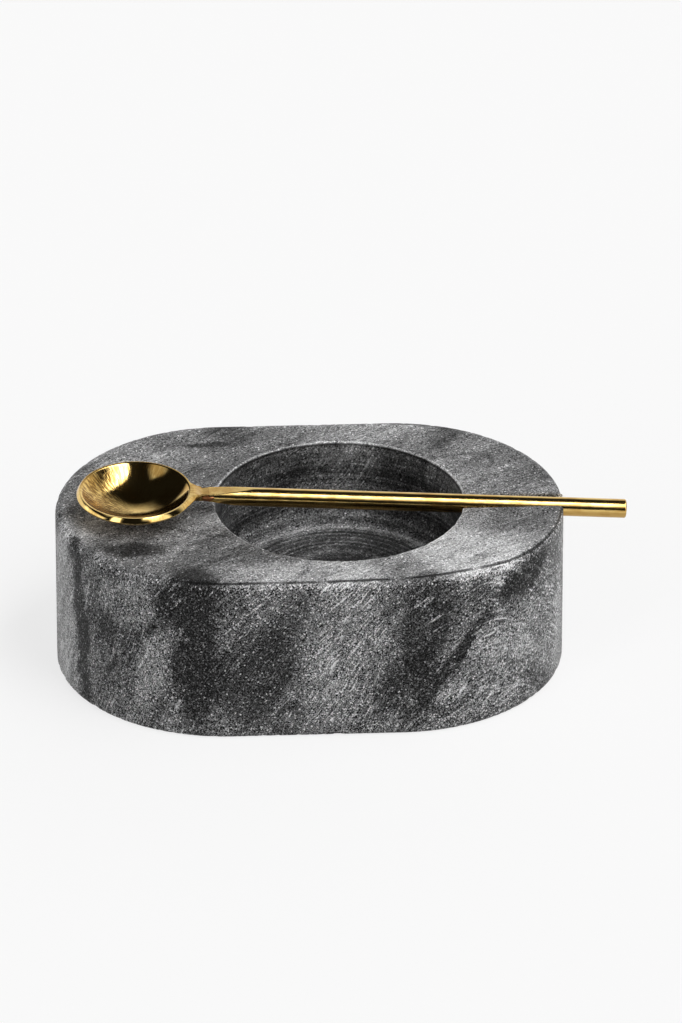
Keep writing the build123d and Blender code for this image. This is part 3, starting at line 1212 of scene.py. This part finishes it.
@dataclass
class SaltSpoon:
    """The brass spoon, as it lies on the block. Sizes are in millimetres and degrees.

    Attributes:
        rim_middle: The middle of the bowl's rim.
        yaw: How far the spoon is turned in plan.
        roll: How far it is rolled about its length.
        bowl_radius: Radius of the bowl's edge.
        bowl_depth: Depth of the bowl inside.
        bowl_wall: Thickness of its wall at the bottom.
        rim_width: Width of its flat rim.
        edge_height: Height of the rim's edge.
        soft_edge: Width of the round on the rim's inner edge.
        soft_points: Points on that round.
        bevel_out: Width of the bevel on the rim's outer edge.
        bevel_down: Height of that bevel.
        bevel_flat: How flat it is; 1 is round.
        bevel_loss: How much of it is lost on the neck.
        bevel_loss_span: How far outside the bowl's edge the loss starts, and where it is full.
        neck_length: Length of the neck, from the bowl's edge to the rod.
        neck_overlap: How far the neck reaches into the rod.
        neck_sector: Half angle of the part of the rim that has narrow columns.
        neck_turn: Angle of a narrow column.
        plain_turn: Angle of the other columns.
        thickening: How far outside the bowl's edge the neck reaches its full thickness.
        dip_lead: How far inside the bowl's edge the neck starts to dip.
        dip_share: The share of the neck's length that is filed straight.
        flare_near: Half width of the neck's flare on the near side.
        flare_far: Half width of its flare on the far side.
        near_slope: Slope of the near flare where it leaves the rim.
        far_slope: Slope of the far flare there.
        near_end: Where the near flare ends, as a share of the neck from the rod.
        far_end: Where the far flare ends.
        flare_blend: How softly the flare runs out round the rim.
        tang_width: Width of the tang.
        tang_thickness: Thickness of the tang.
        under_tuck: How far the rim's edge leans in below.
        under_round: Width and height of the round below it, as shares of the soft edge.
        under_start: How far inside the bowl's edge the plain cap of the underside starts.
        first_ring: Size of the first ring inside, as a share of the bowl's.
        last_turn: Angle of the last ring below, in radians.
        inside_rings: Rings inside the bowl.
        rim_rings: Rings on the rim and the neck.
        bevel_rings: Rings on the bevel.
        edge_rings: Rings on the rim's edge.
        round_rings: Rings on the round below it.
        neck_rings: Rings under the neck.
        under_rings: Rings under the bowl.
        handle_radius: Radius of the rod.
        handle_slope: How steeply the rod slopes down.
        handle_sink: How far the rod's middle line is below the rim at the bowl's middle.
        handle_length: Length of the rod.
        filed_depth: Depth of the flat filed on top of the rod.
        filed_length: Length of that flat.
        filed_soft: How softly it runs out.
        bevel_length: Length of the bevel below the rod.
        bevel_soft: How softly that bevel runs out.
        end_radius: Radius of the round at the rod's free end.
        waver: How far the rod strays from a straight line.
        waver_length: Length of its waves.
        rod_stations: Rings along the rod.
        rod_columns: Columns round the rod.
        rod_sharp: Angle past which an edge of the rod is shaded as sharp.
        braze_swell: Place along the neck, half width and hang of the collar of braze.
        braze_rings: Rings along the collar.
        braze_columns: Columns round the collar.
        braze_square: How square its section is; 1 is round.
        braze_sink: How far its top lies below the neck's.
        braze_shift: How far it sits to the near side.
        braze_middle: How far its middle lies below its top.
        braze_waves: Fineness of its lumps along, across and up.
        braze_lumps: Size of its lumps.
        braze_lumps_below: Height up to which it has lumps, as a share of its own.
    """

    rim_middle: Triple = (-41.15, -4.65, 47.65)
    yaw: float = 1.75
    roll: float = 2.2
    bowl_radius: float = 13.85
    bowl_depth: float = 5.5
    bowl_wall: float = 1.0
    rim_width: float = 1.1
    edge_height: float = 1.2
    soft_edge: float = 0.28
    soft_points: int = 7
    bevel_out: float = 0.68
    bevel_down: float = 1.05
    bevel_flat: float = 1.7
    bevel_loss: float = 0.85
    bevel_loss_span: Span = (0.3, 2.0)
    neck_length: float = 3.35
    neck_overlap: float = 0.22
    neck_sector: float = 30.0
    neck_turn: float = 0.5
    plain_turn: float = 1.5
    thickening: float = 1.2
    dip_lead: float = 0.3
    dip_share: float = 0.35
    flare_near: float = 6.6
    flare_far: float = 3.6
    near_slope: float = -0.5
    far_slope: float = -1.6
    near_end: float = 0.2
    far_end: float = 0.65
    flare_blend: float = 0.35
    tang_width: float = 3.4
    tang_thickness: float = 1.6
    under_tuck: float = 0.1
    under_round: Span = (0.8, 0.6)
    under_start: float = 0.7
    first_ring: float = 0.04
    last_turn: float = 0.03
    inside_rings: int = 44
    rim_rings: int = 16
    bevel_rings: int = 12
    edge_rings: int = 3
    round_rings: int = 4
    neck_rings: int = 14
    under_rings: int = 33
    handle_radius: float = 2.25
    handle_slope: float = 4.548
    handle_sink: float = 0.9
    handle_length: float = 99.1
    filed_depth: float = 1.05
    filed_length: float = 10.5
    filed_soft: float = 0.12
    bevel_length: float = 9.7
    bevel_soft: float = 0.3
    end_radius: float = 0.4
    waver: float = 0.08
    waver_length: float = 22.0
    rod_stations: int = 240
    rod_columns: int = 112
    rod_sharp: float = 50.0
    braze_swell: tuple[Triple, ...] = (
        (15.0, 1.62, 0.02),
        (15.5, 1.80, 0.10),
        (16.2, 2.06, 0.30),
        (17.0, 2.30, 0.50),
        (17.6, 2.34, 0.52),
        (18.2, 2.20, 0.40),
        (18.7, 1.95, 0.20),
    )
    braze_rings: int = 23
    braze_columns: int = 40
    braze_square: float = 0.75
    braze_sink: float = 0.12
    braze_shift: float = 0.12
    braze_middle: float = 0.7
    braze_waves: Triple = (0.9, 1.3, 1.1)
    braze_lumps: float = 0.05
    braze_lumps_below: float = 0.3

    def __post_init__(self) -> None:
        """Work out the sizes that follow from the others."""
        self.root_x = self.bowl_radius + self.neck_length
        self.root_z = -self.handle_sink - self.root_x * math.tan(math.radians(self.handle_slope))
        self.filed_top = self.handle_radius - self.filed_depth
        self.tang_under = self.filed_top - self.tang_thickness
        slope = math.radians(self.handle_slope)
        self.filed_rise = math.tan(math.atan2(self.filed_depth, self.filed_length) - slope)
        self.dip_end = self.root_x - self.dip_share * self.neck_length
        root_top = self.root_z + self.filed_top * math.cos(slope)
        root_end = self.root_x + self.filed_top * math.sin(slope)
        self.dip = root_top - self.filed_rise * (root_end - self.dip_end)

    def rim_frame(self) -> Matrix:
        """Give the rim's own axes and place, in millimetres: x to the handle, z up from the bowl."""
        yaw = Matrix.Rotation(math.radians(self.yaw), 4, "Z")
        return Matrix.Translation(self.rim_middle) @ (yaw @ Matrix.Rotation(math.radians(self.roll), 4, "X"))

    def handle_frame(self) -> Matrix:
        """Give the handle's own axes and place, in millimetres: x along it, z to its filed side."""
        tilt = Matrix.Rotation(math.radians(self.handle_slope), 4, "Y")
        return self.rim_frame() @ Matrix.Translation((self.root_x, 0.0, self.root_z)) @ tilt

    def neck_top(self, x: np.ndarray) -> np.ndarray:
        """Give the height of the neck's upper face.

        Args:
            x: Places along the neck, from the bowl's middle.

        Returns:
            The height at each place, from the rim.
        """
        start = self.bowl_radius - self.dip_lead
        run = self.dip_end - start
        s = np.clip((x - start) / run, 0.0, 1.0)
        bend = self.dip * (3 * s**2 - 2 * s**3) + (s**3 - s**2) * self.filed_rise * run
        return bend + self.filed_rise * np.maximum(x - self.dip_end, 0.0)

    def plan_reach(self, turn: np.ndarray) -> np.ndarray:
        """Give how far the rim and the neck reach from the bowl's middle.

        Args:
            turn: Directions in plan, 0 towards the handle.

        Returns:
            The reach in each direction.
        """
        widest, most, halvings = 1.2, 30.0, 40
        middle = self.bowl_radius - self.rim_width / 2
        away = np.minimum(np.abs(turn), widest)
        neck = np.zeros(len(turn))
        near = -1.0, self.flare_near, self.near_slope, self.near_end
        far = 1.0, self.flare_far, self.far_slope, self.far_end
        for side, flare, slope, share in (near, far):
            flare_x = math.sqrt(middle**2 - flare**2)
            run = self.root_x - share * self.neck_length - flare_x
            low = np.full(len(turn), flare_x)
            high = np.full(len(turn), self.root_x + self.neck_overlap)
            for _ in range(halvings):
                x = (low + high) / 2
                s = np.clip((x - flare_x) / run, 0.0, 1.0)
                half = (2 * s**3 - 3 * s**2 + 1) * flare + (3 * s**2 - 2 * s**3) * self.tang_width / 2
                half = half + (s**3 - 2 * s**2 + s) * slope * run
                inside = x * np.tan(away) < half
                low = np.where(inside, x, low)
                high = np.where(inside, high, x)
            here = (side * turn >= 0) & (away < math.atan2(flare, flare_x))
            neck = np.where(here, low / np.cos(away), neck)
        least = (middle - self.bowl_radius) / self.flare_blend
        gap = np.clip((neck - self.bowl_radius) / self.flare_blend, least, most)
        return self.bowl_radius + self.flare_blend * (np.log1p(np.exp(gap)) - math.log1p(math.exp(least)))

    def bowl_rings(self) -> np.ndarray:
        """Work out the bowl's rings, from its inner middle over the rim and the neck to its underside.

        Returns:
            Points by ring, column and axis, in the rim's own axes.
        """
        near = np.radians(np.arange(-self.neck_sector, self.neck_sector, self.neck_turn))
        far = np.radians(np.arange(self.neck_sector, 360.0 - self.neck_sector, self.plain_turn))
        turn = np.concatenate([near, far])
        wrapped = np.where(turn > math.pi, turn - 2 * math.pi, turn)
        reach = self.plan_reach(wrapped)
        inner = self.bowl_radius - self.rim_width
        soft = self.soft_edge
        curve = (inner**2 + self.bowl_depth**2) / (2 * self.bowl_depth)
        under_depth = self.bowl_depth + self.bowl_wall - self.edge_height
        under_curve = (self.bowl_radius**2 + under_depth**2) / (2 * under_depth)
        under_middle = under_curve - self.bowl_depth - self.bowl_wall
        steep = math.asin(inner / curve)
        made: list[np.ndarray] = []

        def ring(out: np.ndarray | float, height: np.ndarray | float) -> None:
            """Add one ring.

            Args:
                out: Its distance from the middle, in all directions or in each.
                height: Its height, in all directions or in each.
            """
            out = np.broadcast_to(out, turn.shape)
            height = np.broadcast_to(height, turn.shape)
            made.append(np.column_stack([out * np.cos(turn), out * np.sin(turn), height]))

        def top(out: np.ndarray) -> np.ndarray:
            """Give the height of the rim's and the neck's upper face."""
            return self.neck_top(out * np.cos(turn))

        def under(out: np.ndarray) -> np.ndarray:
            """Give the height of the underside, of the neck or of the bowl.

            Args:
                out: The distance from the middle, in each direction.

            Returns:
                The height in each direction.
            """
            cap = under_middle - np.sqrt(under_curve**2 - np.minimum(out, self.bowl_radius) ** 2)
            thicker = self.tang_thickness - self.edge_height
            thicker = thicker * eased(out - self.bowl_radius, 0.0, self.thickening)
            neck = self.neck_top(out * np.cos(turn)) - self.edge_height - thicker
            return np.where(out > self.bowl_radius, np.minimum(neck, cap), cap)

        # Inside the bowl, and the soft inner edge of its rim
        last = math.asin((inner - soft * math.cos(steep)) / curve)
        for a in np.linspace(self.first_ring, 1.0, self.inside_rings) * last:
            ring(curve * math.sin(a), curve - self.bowl_depth - curve * math.cos(a))
        start = np.array([curve * math.sin(last), curve - self.bowl_depth - curve * math.cos(last)])
        corner, end = np.array([inner, 0.0]), np.array([inner + soft, 0.0])
        for out, height in arc_between(start, corner, end, self.soft_points)[1:]:
            ring(out, height)
        # The rim and the neck, and the bevel of their outer edge
        keen = 1.0 - self.bevel_loss * eased(reach - self.bowl_radius, *self.bevel_loss_span)
        bevel_out = keen * self.bevel_out
        bevel_down = keen * self.bevel_down
        for share in steps(self.rim_rings):
            out = inner + soft + share * (reach - inner - soft - bevel_out)
            ring(out, top(out))
        for a in quarter_turn(self.bevel_rings):
            out = reach - bevel_out * (1 - math.sin(a) ** self.bevel_flat)
            ring(out, top(out) - bevel_down * (1 - max(math.cos(a), 0.0) ** self.bevel_flat))
        # The edge itself, and the round below it
        low = under(reach)
        side = top(reach) - bevel_down
        round_in, round_up = (share * soft for share in self.under_round)
        for share in steps(self.edge_rings):
            ring(reach - self.under_tuck * share, side + share * (low + round_up - side))
        for s in steps(self.round_rings):
            out = reach - self.under_tuck - round_in * s**2
            ring(out, low + round_up * (1 - s) ** 2 + s**2 * (under(out) - low))
        # The underside
        edge = reach - self.under_tuck - round_in
        stop = self.bowl_radius - self.under_start
        for share in steps(self.neck_rings):
            out = edge + share * (stop - edge)
            ring(out, under(out))
        for a in np.linspace(math.asin(stop / under_curve), self.last_turn, self.under_rings + 1)[1:]:
            ring(under_curve * math.sin(a), under_middle - under_curve * math.cos(a))
        return np.array(made)

    def build_bowl(self, material: bpy.types.Material) -> bpy.types.Object:
        """Make the bowl with its neck, and dress it.

        Args:
            material: The brass.

        Returns:
            The finished piece.
        """
        inside = (0.0, 0.0, -self.bowl_depth)
        bottom = (0.0, 0.0, -self.bowl_depth - self.bowl_wall)
        piece = closed_loft("spoon_cap_and_neck", self.bowl_rings(), inside, bottom)
        self.place(piece, self.rim_frame())
        dress(piece, material)
        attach(piece, "spoon")
        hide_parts("spoon_bowl")
        return piece

    def place(self, piece: bpy.types.Object, place: Matrix) -> None:
        """Move a piece's mesh to where it lies, leaving its object at the origin.

        Args:
            piece: The piece.
            place: Its axes and place, in millimetres.
        """
        metres = Matrix.Translation(place.translation * MM) @ place.to_3x3().to_4x4()
        piece.data.transform(metres)
        piece.data.update()

    def handle_tree(self, material: bpy.types.Material) -> bpy.types.NodeTree:
        """Build the tree that draws the rod: swept, filed to a wedge at the tang and rounded at its end.

        Args:
            material: The brass.

        Returns:
            The tree, with one named input for each size.
        """
        tree = bpy.data.node_groups.new("drawn_and_filed_rod", "GeometryNodeTree")
        tree.interface.new_socket("Rod", in_out="OUTPUT", socket_type="NodeSocketGeometry")
        for name in self.handle_sizes():
            tree.interface.new_socket(name, in_out="INPUT", socket_type="NodeSocketFloat")
        graph = Graph(tree)
        given = graph.node("NodeGroupInput").outputs
        path = graph.node("GeometryNodeCurvePrimitiveLine")
        path.inputs["End"].default_value = (1.0, 0.0, 0.0)
        stations = graph.node("GeometryNodeResampleCurve")
        stations.inputs["Count"].default_value = self.rod_stations
        graph.feed(stations.inputs["Curve"], path.outputs["Curve"])
        ring = graph.node("GeometryNodeCurvePrimitiveCircle")
        ring.inputs["Resolution"].default_value = self.rod_columns
        graph.feed(ring.inputs["Radius"], given["Radius"])
        sweep = graph.node("GeometryNodeCurveToMesh")
        sweep.inputs["Fill Caps"].default_value = True
        graph.feed(sweep.inputs["Curve"], stations.outputs["Curve"])
        graph.feed(sweep.inputs["Profile Curve"], ring.outputs["Curve"])
        far, side, high = graph.parted(graph.node("GeometryNodeInputPosition").outputs[0])
        # Stations crowd towards both ends, where the rod is shaped
        swing = graph.math("COSINE", graph.math("MULTIPLY", far, math.pi))
        along = graph.math("MULTIPLY", graph.math("MULTIPLY_ADD", swing, -0.5, 0.5), given["Length"])
        # Round at the free end
        past = graph.math("SUBTRACT", along, graph.math("SUBTRACT", given["Length"], given["End Radius"]))
        past = graph.math("POWER", graph.math("MAXIMUM", past, 0.0), 2.0)
        square = graph.math("SUBTRACT", graph.math("POWER", given["End Radius"], 2.0), past)
        back = graph.math("SQRT", graph.math("MAXIMUM", square, 0.0))
        back = graph.math("SUBTRACT", given["End Radius"], back)
        slim = graph.math("DIVIDE", graph.math("SUBTRACT", given["Radius"], back), given["Radius"])
        side = graph.math("MULTIPLY", side, slim)
        high = graph.math("MULTIPLY", high, slim)
        # Flat filed on top, running out along the rod
        run = graph.math("DIVIDE", along, given["Filed Length"])
        filed = graph.math("MULTIPLY", graph.math("SUBTRACT", run, 1.0), given["Filed Depth"])
        filed = graph.math("ADD", filed, given["Radius"])
        high = graph.math("SMOOTH_MIN", high, filed, self.filed_soft * MM)
        # Bevel below, running out along the rod from the tang
        fall = graph.math("DIVIDE", along, given["Bevel Length"])
        drop = graph.math("MULTIPLY", fall, graph.math("ADD", given["Radius"], given["Tang Under"]))
        bevel = graph.math("SUBTRACT", given["Tang Under"], drop)
        high = graph.math("SMOOTH_MAX", high, bevel, self.bevel_soft * MM)
        # Hand-drawn metal is never quite straight
        sway = graph.noise(graph.joined(along), self.waver_length * MM, detail=1.0).outputs["Color"]
        drift = graph.vector("SUBTRACT", sway, 3 * (NOISE_MEAN,))
        drift = graph.vector("SCALE", drift, given["Waver"])
        settle = graph.node("GeometryNodeSetPosition")
        graph.feed(settle.inputs["Geometry"], sweep.outputs["Mesh"])
        graph.feed(settle.inputs["Position"], graph.joined(along, side, high))
        graph.feed(settle.inputs["Offset"], graph.vector("MULTIPLY", drift, (0.0, 1.0, 1.0)))
        smooth = graph.node("GeometryNodeSetShadeSmooth")
        graph.feed(smooth.inputs["Geometry"], settle.outputs["Geometry"])
        real = graph.node("GeometryNodeRealizeInstances")
        graph.feed(real.inputs["Geometry"], smooth.outputs["Geometry"])
        metal = graph.node("GeometryNodeSetMaterial")
        metal.inputs["Material"].default_value = material
        graph.feed(metal.inputs["Geometry"], real.outputs["Geometry"])
        graph.feed(graph.node("NodeGroupOutput").inputs["Rod"], metal.outputs["Geometry"])
        return tree

    def handle_sizes(self) -> dict[str, float]:
        """Give the sizes that the rod's tree asks for.

        Returns:
            The size for each of the tree's inputs, in millimetres.
        """
        return {
            "Length": self.handle_length,
            "Radius": self.handle_radius,
            "Filed Depth": self.filed_depth,
            "Filed Length": self.filed_length,
            "Tang Under": self.tang_under,
            "Bevel Length": self.bevel_length,
            "End Radius": self.end_radius,
            "Waver": self.waver,
        }

    def build_handle(self, material: bpy.types.Material) -> bpy.types.Object:
        """Draw the rod from its tree, make it a plain mesh and dress it.

        Args:
            material: The brass.

        Returns:
            The finished piece.
        """
        tree = self.handle_tree(material)
        maker = bpy.data.objects.new("rod_maker", bpy.data.meshes.new("rod_maker"))
        bpy.context.scene.collection.objects.link(maker)
        modifier = maker.modifiers.new("rod", "NODES")
        modifier.node_group = tree
        sizes = self.handle_sizes()
        for item in tree.interface.items_tree:
            if item.name in sizes:
                modifier[item.identifier] = sizes[item.name] * MM
        drawn = maker.evaluated_get(bpy.context.evaluated_depsgraph_get())
        mesh = bpy.data.meshes.new_from_object(drawn)
        bpy.data.objects.remove(maker)
        mesh.name = "spoon_rod"
        piece = bpy.data.objects.new("spoon_rod", mesh)
        bpy.context.scene.collection.objects.link(piece)
        mesh.set_sharp_from_angle(angle=math.radians(self.rod_sharp))
        self.place(piece, self.handle_frame())
        dress(piece, material)
        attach(piece, "spoon")
        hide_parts("spoon_handle")
        return piece

    def build_braze(self, material: bpy.types.Material) -> bpy.types.Object:
        """Make the collar of braze that runs round the tang where it meets the rod, and dress it.

        Args:
            material: The reddish filler metal.

        Returns:
            The finished piece.
        """
        turns = np.linspace(0.0, 2 * math.pi, self.braze_columns, endpoint=False)
        across = np.sign(np.cos(turns)) * np.abs(np.cos(turns)) ** self.braze_square
        high = np.sin(turns)
        places, halves, hangs = np.array(self.braze_swell).T
        wave_x, wave_y, wave_z = self.braze_waves
        rings = []
        for x in np.linspace(places[0], places[-1], self.braze_rings):
            half = np.interp(x, places, halves)
            hang = np.interp(x, places, hangs)
            top = float(self.neck_top(np.array([x]))[0]) - self.braze_sink
            depth = np.where(high > 0, self.braze_middle, self.tang_thickness - self.braze_middle + hang)
            spots = [Vector((wave_x * x, wave_y * a, wave_z * b)) for a, b in zip(across, high)]
            lumps = np.array([noise.noise(spot) for spot in spots])
            size = 1.0 + self.braze_lumps * lumps * (high < self.braze_lumps_below)
            rings.append(np.column_stack([
                np.full(self.braze_columns, x),
                size * half * across - self.braze_shift,
                top - self.braze_middle + size * depth * high,
            ]))
        ends = [tuple(rings[end].mean(axis=0)) for end in (0, -1)]
        piece = closed_loft("braze_collar", np.array(rings), ends[0], ends[1])
        self.place(piece, self.rim_frame())
        dress(piece, material)
        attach(piece, "spoon")
        return piece

    def build(self) -> list[bpy.types.Object]:
        """Make the spoon's pieces.

        Returns:
            The bowl with its neck, the rod and the collar of braze that joins them.
        """
        out, along = RubMarks.FROM_MIDDLE, RubMarks.ALONG
        bowl = BrassFinish("polished_bowl_brass", BrassTone.POLISHED, out, gloss=0.09, scratch=0.22)
        rod = BrassFinish("drawn_rod_brass", BrassTone.POLISHED, along, gloss=0.14, underside_shade=0.62)
        brazed = BrassFinish("coppery_braze", BrassTone.BRAZED, along, gloss=0.42)
        metals = [finish.material() for finish in (bowl, rod, brazed)]
        return [self.build_bowl(metals[0]), self.build_handle(metals[1]), self.build_braze(metals[2])]


@dataclass(frozen=True)
class LightEdge:
    """One fading edge of a panel.

    Attributes:
        right: How far the way across the edge points to the right.
        back: How far it points to the back.
        up: How far it points up.
        dark: Where along that way the panel is still dark.
        full: Where it is fully lit.
    """

    right: float
    back: float
    up: float
    dark: float
    full: float


@dataclass(frozen=True)
class LightPanel:
    """A soft panel of the studio.

    Attributes:
        glow: How bright it is.
        edges: The edges that bound it.
    """

    glow: float
    edges: tuple[LightEdge, ...]


@dataclass
class Studio:
    """The pale floor, the soft light and the camera. Lengths are in millimetres, angles in degrees.

    Attributes:
        frame_size: Width and height of the picture, in pixels.
        focus_pixels: The camera's focal length, in pixels.
        distance: How far away the camera is.
        elevation: How far above the object it is.
        azimuth: How far to the right of the front it is.
        aim_right: How far to the right of the origin it aims.
        aim_up: How far above the origin it aims, across its line of sight.
        sensor: Width of its sensor.
        clip: The nearest and the furthest that it sees, in metres.
        floor_side: Length of the floor's sides.
        floor_drop: How far the floor lies below the block, so that they don't share a plane.
        floor_rough: The floor's roughness.
        floor_specular: Strength of its highlight.
        floor_tone: Its tone as it lights the object.
        floor_seen: Its tone as it is seen.
        floor_white: How much of what is seen is plain white, without the shadow.
        panels: The panels that light the studio.
        room_glow: How bright the room is between them.
        cove_rise: How the cove fades upwards, as a slope and a start.
        cove_back: Where the cove starts on its way to the back, and where it is full.
        cove_right: Where its upper part starts on its way to the right, and where it is full.
        cove_low: Height of its lower part, which goes all the way round.
    """

    frame_size: tuple[int, int] = (682, 1023)
    focus_pixels: float = 10514.24
    distance: float = 2500.0
    elevation: float = 28.608
    azimuth: float = -2.709
    aim_right: float = 7.448
    aim_up: float = 33.579
    sensor: float = 36.0
    clip: Span = (0.1, 100.0)
    floor_side: float = 6000.0
    floor_drop: float = 0.05
    floor_rough: float = 0.9
    floor_specular: float = 0.1
    floor_tone: float = 0.22
    floor_seen: float = 0.9
    floor_white: float = 0.76
    panels: tuple[LightPanel, ...] = (
        LightPanel(8.4, (
            LightEdge(1.0, 0.0, 0.0, 0.13, 0.22),
            LightEdge(0.864, -0.504, 0.0, 0.25, 0.33),
            LightEdge(-1.0, 0.0, 0.0, -0.68, -0.36),
            LightEdge(0.0, 1.0, 0.0, -0.90, -0.25),
            LightEdge(0.0, 0.0, 1.0, 0.10, 0.30),
        )),
        LightPanel(0.6, (
            LightEdge(1.0, 0.0, 0.0, -0.80, -0.60),
            LightEdge(-1.0, 0.0, 0.0, 0.30, 0.45),
            LightEdge(0.0, 1.0, 0.0, -0.50, -0.35),
            LightEdge(0.0, -1.0, 0.0, 0.0, 0.12),
            LightEdge(0.0, 0.0, 1.0, 0.10, 0.30),
        )),
        LightPanel(1.35, (
            LightEdge(-1.0, 0.0, 0.0, 0.62, 0.74),
            LightEdge(0.0, 1.0, 0.0, -0.55, -0.40),
            LightEdge(0.0, -1.0, 0.0, -0.45, -0.25),
            LightEdge(0.0, 0.0, 1.0, 0.05, 0.15),
            LightEdge(0.0, 0.0, -1.0, -0.42, -0.30),
        )),
        LightPanel(2.6, (
            LightEdge(-0.866, 0.500, 0.0, -0.02, 0.05),
            LightEdge(0.643, -0.766, 0.0, -0.02, 0.05),
            LightEdge(0.0, 0.0, 1.0, 0.04, 0.14),
            LightEdge(0.0, 0.0, -1.0, -0.82, -0.66),
        )),
        LightPanel(1.4, (
            LightEdge(0.906, 0.423, 0.0, -0.03, 0.06),
            LightEdge(-0.259, -0.966, 0.0, 0.05, 0.20),
            LightEdge(0.0, 0.0, 1.0, 0.06, 0.16),
            LightEdge(0.0, 0.0, -1.0, -0.80, -0.64),
        )),
    )
    room_glow: float = 0.010
    cove_rise: Span = (-3.4, 2.6)
    cove_back: Span = (-0.1, 0.3)
    cove_right: Span = (-0.35, 0.0)
    cove_low: Span = (0.30, 0.15)

    def build_camera(self) -> bpy.types.Object:
        """Put the camera where the photograph was taken from.

        Returns:
            The camera.
        """
        a, e = math.radians(self.azimuth), math.radians(self.elevation)
        back = Vector((math.sin(a) * math.cos(e), -math.cos(a) * math.cos(e), math.sin(e)))
        right = Vector((math.cos(a), math.sin(a), 0.0))
        up = back.cross(right)
        eye = right * self.aim_right + up * self.aim_up + back * self.distance
        data = bpy.data.cameras.new("camera")
        data.sensor_width = self.sensor
        data.lens = self.focus_pixels * self.sensor / max(self.frame_size)
        data.clip_start, data.clip_end = self.clip
        camera = bpy.data.objects.new("camera", data)
        turned = Matrix((right, up, back)).transposed().to_4x4()
        camera.matrix_world = Matrix.Translation(eye * MM) @ turned
        bpy.context.scene.collection.objects.link(camera)
        bpy.context.scene.camera = camera
        return camera

    def build_floor(self) -> bpy.types.Object:
        """Lay the pale floor, which shows as white and keeps a soft shadow.

        Returns:
            The floor.
        """
        half = self.floor_side / 2 * MM
        mesh = bpy.data.meshes.new("floor")
        corners = [(-half, -half, 0.0), (half, -half, 0.0), (half, half, 0.0), (-half, half, 0.0)]
        mesh.from_pydata(corners, [], [(0, 1, 2, 3)])
        floor = bpy.data.objects.new("floor", mesh)
        floor.location.z = -self.floor_drop * MM
        bpy.context.scene.collection.objects.link(floor)
        material, graph, shader = new_material("pale_floor")
        shader.inputs["Roughness"].default_value = self.floor_rough
        shader.inputs["Specular IOR Level"].default_value = self.floor_specular
        path = graph.node("ShaderNodeLightPath").outputs
        seen = graph.math("MAXIMUM", path["Is Camera Ray"], path["Is Glossy Ray"])
        seen = graph.math("MAXIMUM", seen, path["Is Transmission Ray"])
        tone = graph.mix(seen, 3 * (self.floor_tone,), 3 * (self.floor_seen,))
        graph.feed(shader.inputs["Base Color"], tone)
        glow = graph.node("ShaderNodeEmission")
        glow.inputs["Color"].default_value = (1.0, 1.0, 1.0, 1.0)
        blend = graph.node("ShaderNodeMixShader")
        graph.feed(blend.inputs[0], graph.math("MULTIPLY", seen, self.floor_white))
        graph.feed(blend.inputs[1], shader.outputs[0])
        graph.feed(blend.inputs[2], glow.outputs[0])
        graph.feed(graph.tree.nodes["Material Output"].inputs["Surface"], blend.outputs[0])
        mesh.materials.append(material)
        return floor

    def build_world(self) -> bpy.types.World:
        """Light the studio: panels overhead, a pale cove at the horizon and a dim room between them.

        Returns:
            The world.
        """
        world = bpy.data.worlds.new("studio")
        world.use_nodes = True
        bpy.context.scene.world = world
        graph = Graph(world.node_tree)
        towards = graph.node("ShaderNodeTexCoord").outputs["Generated"]
        right, back, up = graph.parted(towards)
        cove = graph.math("MULTIPLY_ADD", up, *self.cove_rise, clamp=True)
        cove = graph.math("MULTIPLY", cove, graph.ramp_between(back, *self.cove_back))
        rightwards = graph.ramp_between(right, *self.cove_right)
        open_side = graph.math("MAXIMUM", rightwards, graph.ramp_between(up, *self.cove_low))
        glow = graph.math("ADD", graph.math("MULTIPLY", cove, open_side), self.room_glow)
        for panel in self.panels:
            lit: Feed = 1.0
            for edge in panel.edges:
                reach = graph.vector("DOT_PRODUCT", towards, (edge.right, edge.back, edge.up))
                lit = graph.math("MULTIPLY", lit, graph.ramp_between(reach, edge.dark, edge.full))
            glow = graph.math("MULTIPLY_ADD", lit, panel.glow, glow)
        # The camera sees plain white where the floor ends
        camera = graph.node("ShaderNodeLightPath").outputs["Is Camera Ray"]
        glow = graph.math("MULTIPLY", glow, graph.math("SUBTRACT", 1.0, camera))
        background = world.node_tree.nodes["Background"]
        graph.feed(background.inputs["Strength"], graph.math("ADD", glow, camera))
        background.inputs["Color"].default_value = (1.0, 1.0, 1.0, 1.0)
        return world


def main() -> None:
    """Build the salt cellar and the studio."""
    logging.basicConfig(level=logging.INFO, format="%(message)s")
    bpy.context.scene.view_settings.view_transform = "Standard"
    studio = Studio()
    studio.build_camera()
    low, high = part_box("marble_block")
    length, width, height = (round(side / MM, 2) for side in high - low)
    pieces = [MarbleBlock(length, width, height).build(MarbleFinish())]
    pieces += SaltSpoon().build()
    studio.build_floor()
    studio.build_world()
    for piece in pieces:
        LOG.info("%s: %d faces", piece.name, len(piece.data.polygons))


if __name__ == "__main__":
    main()
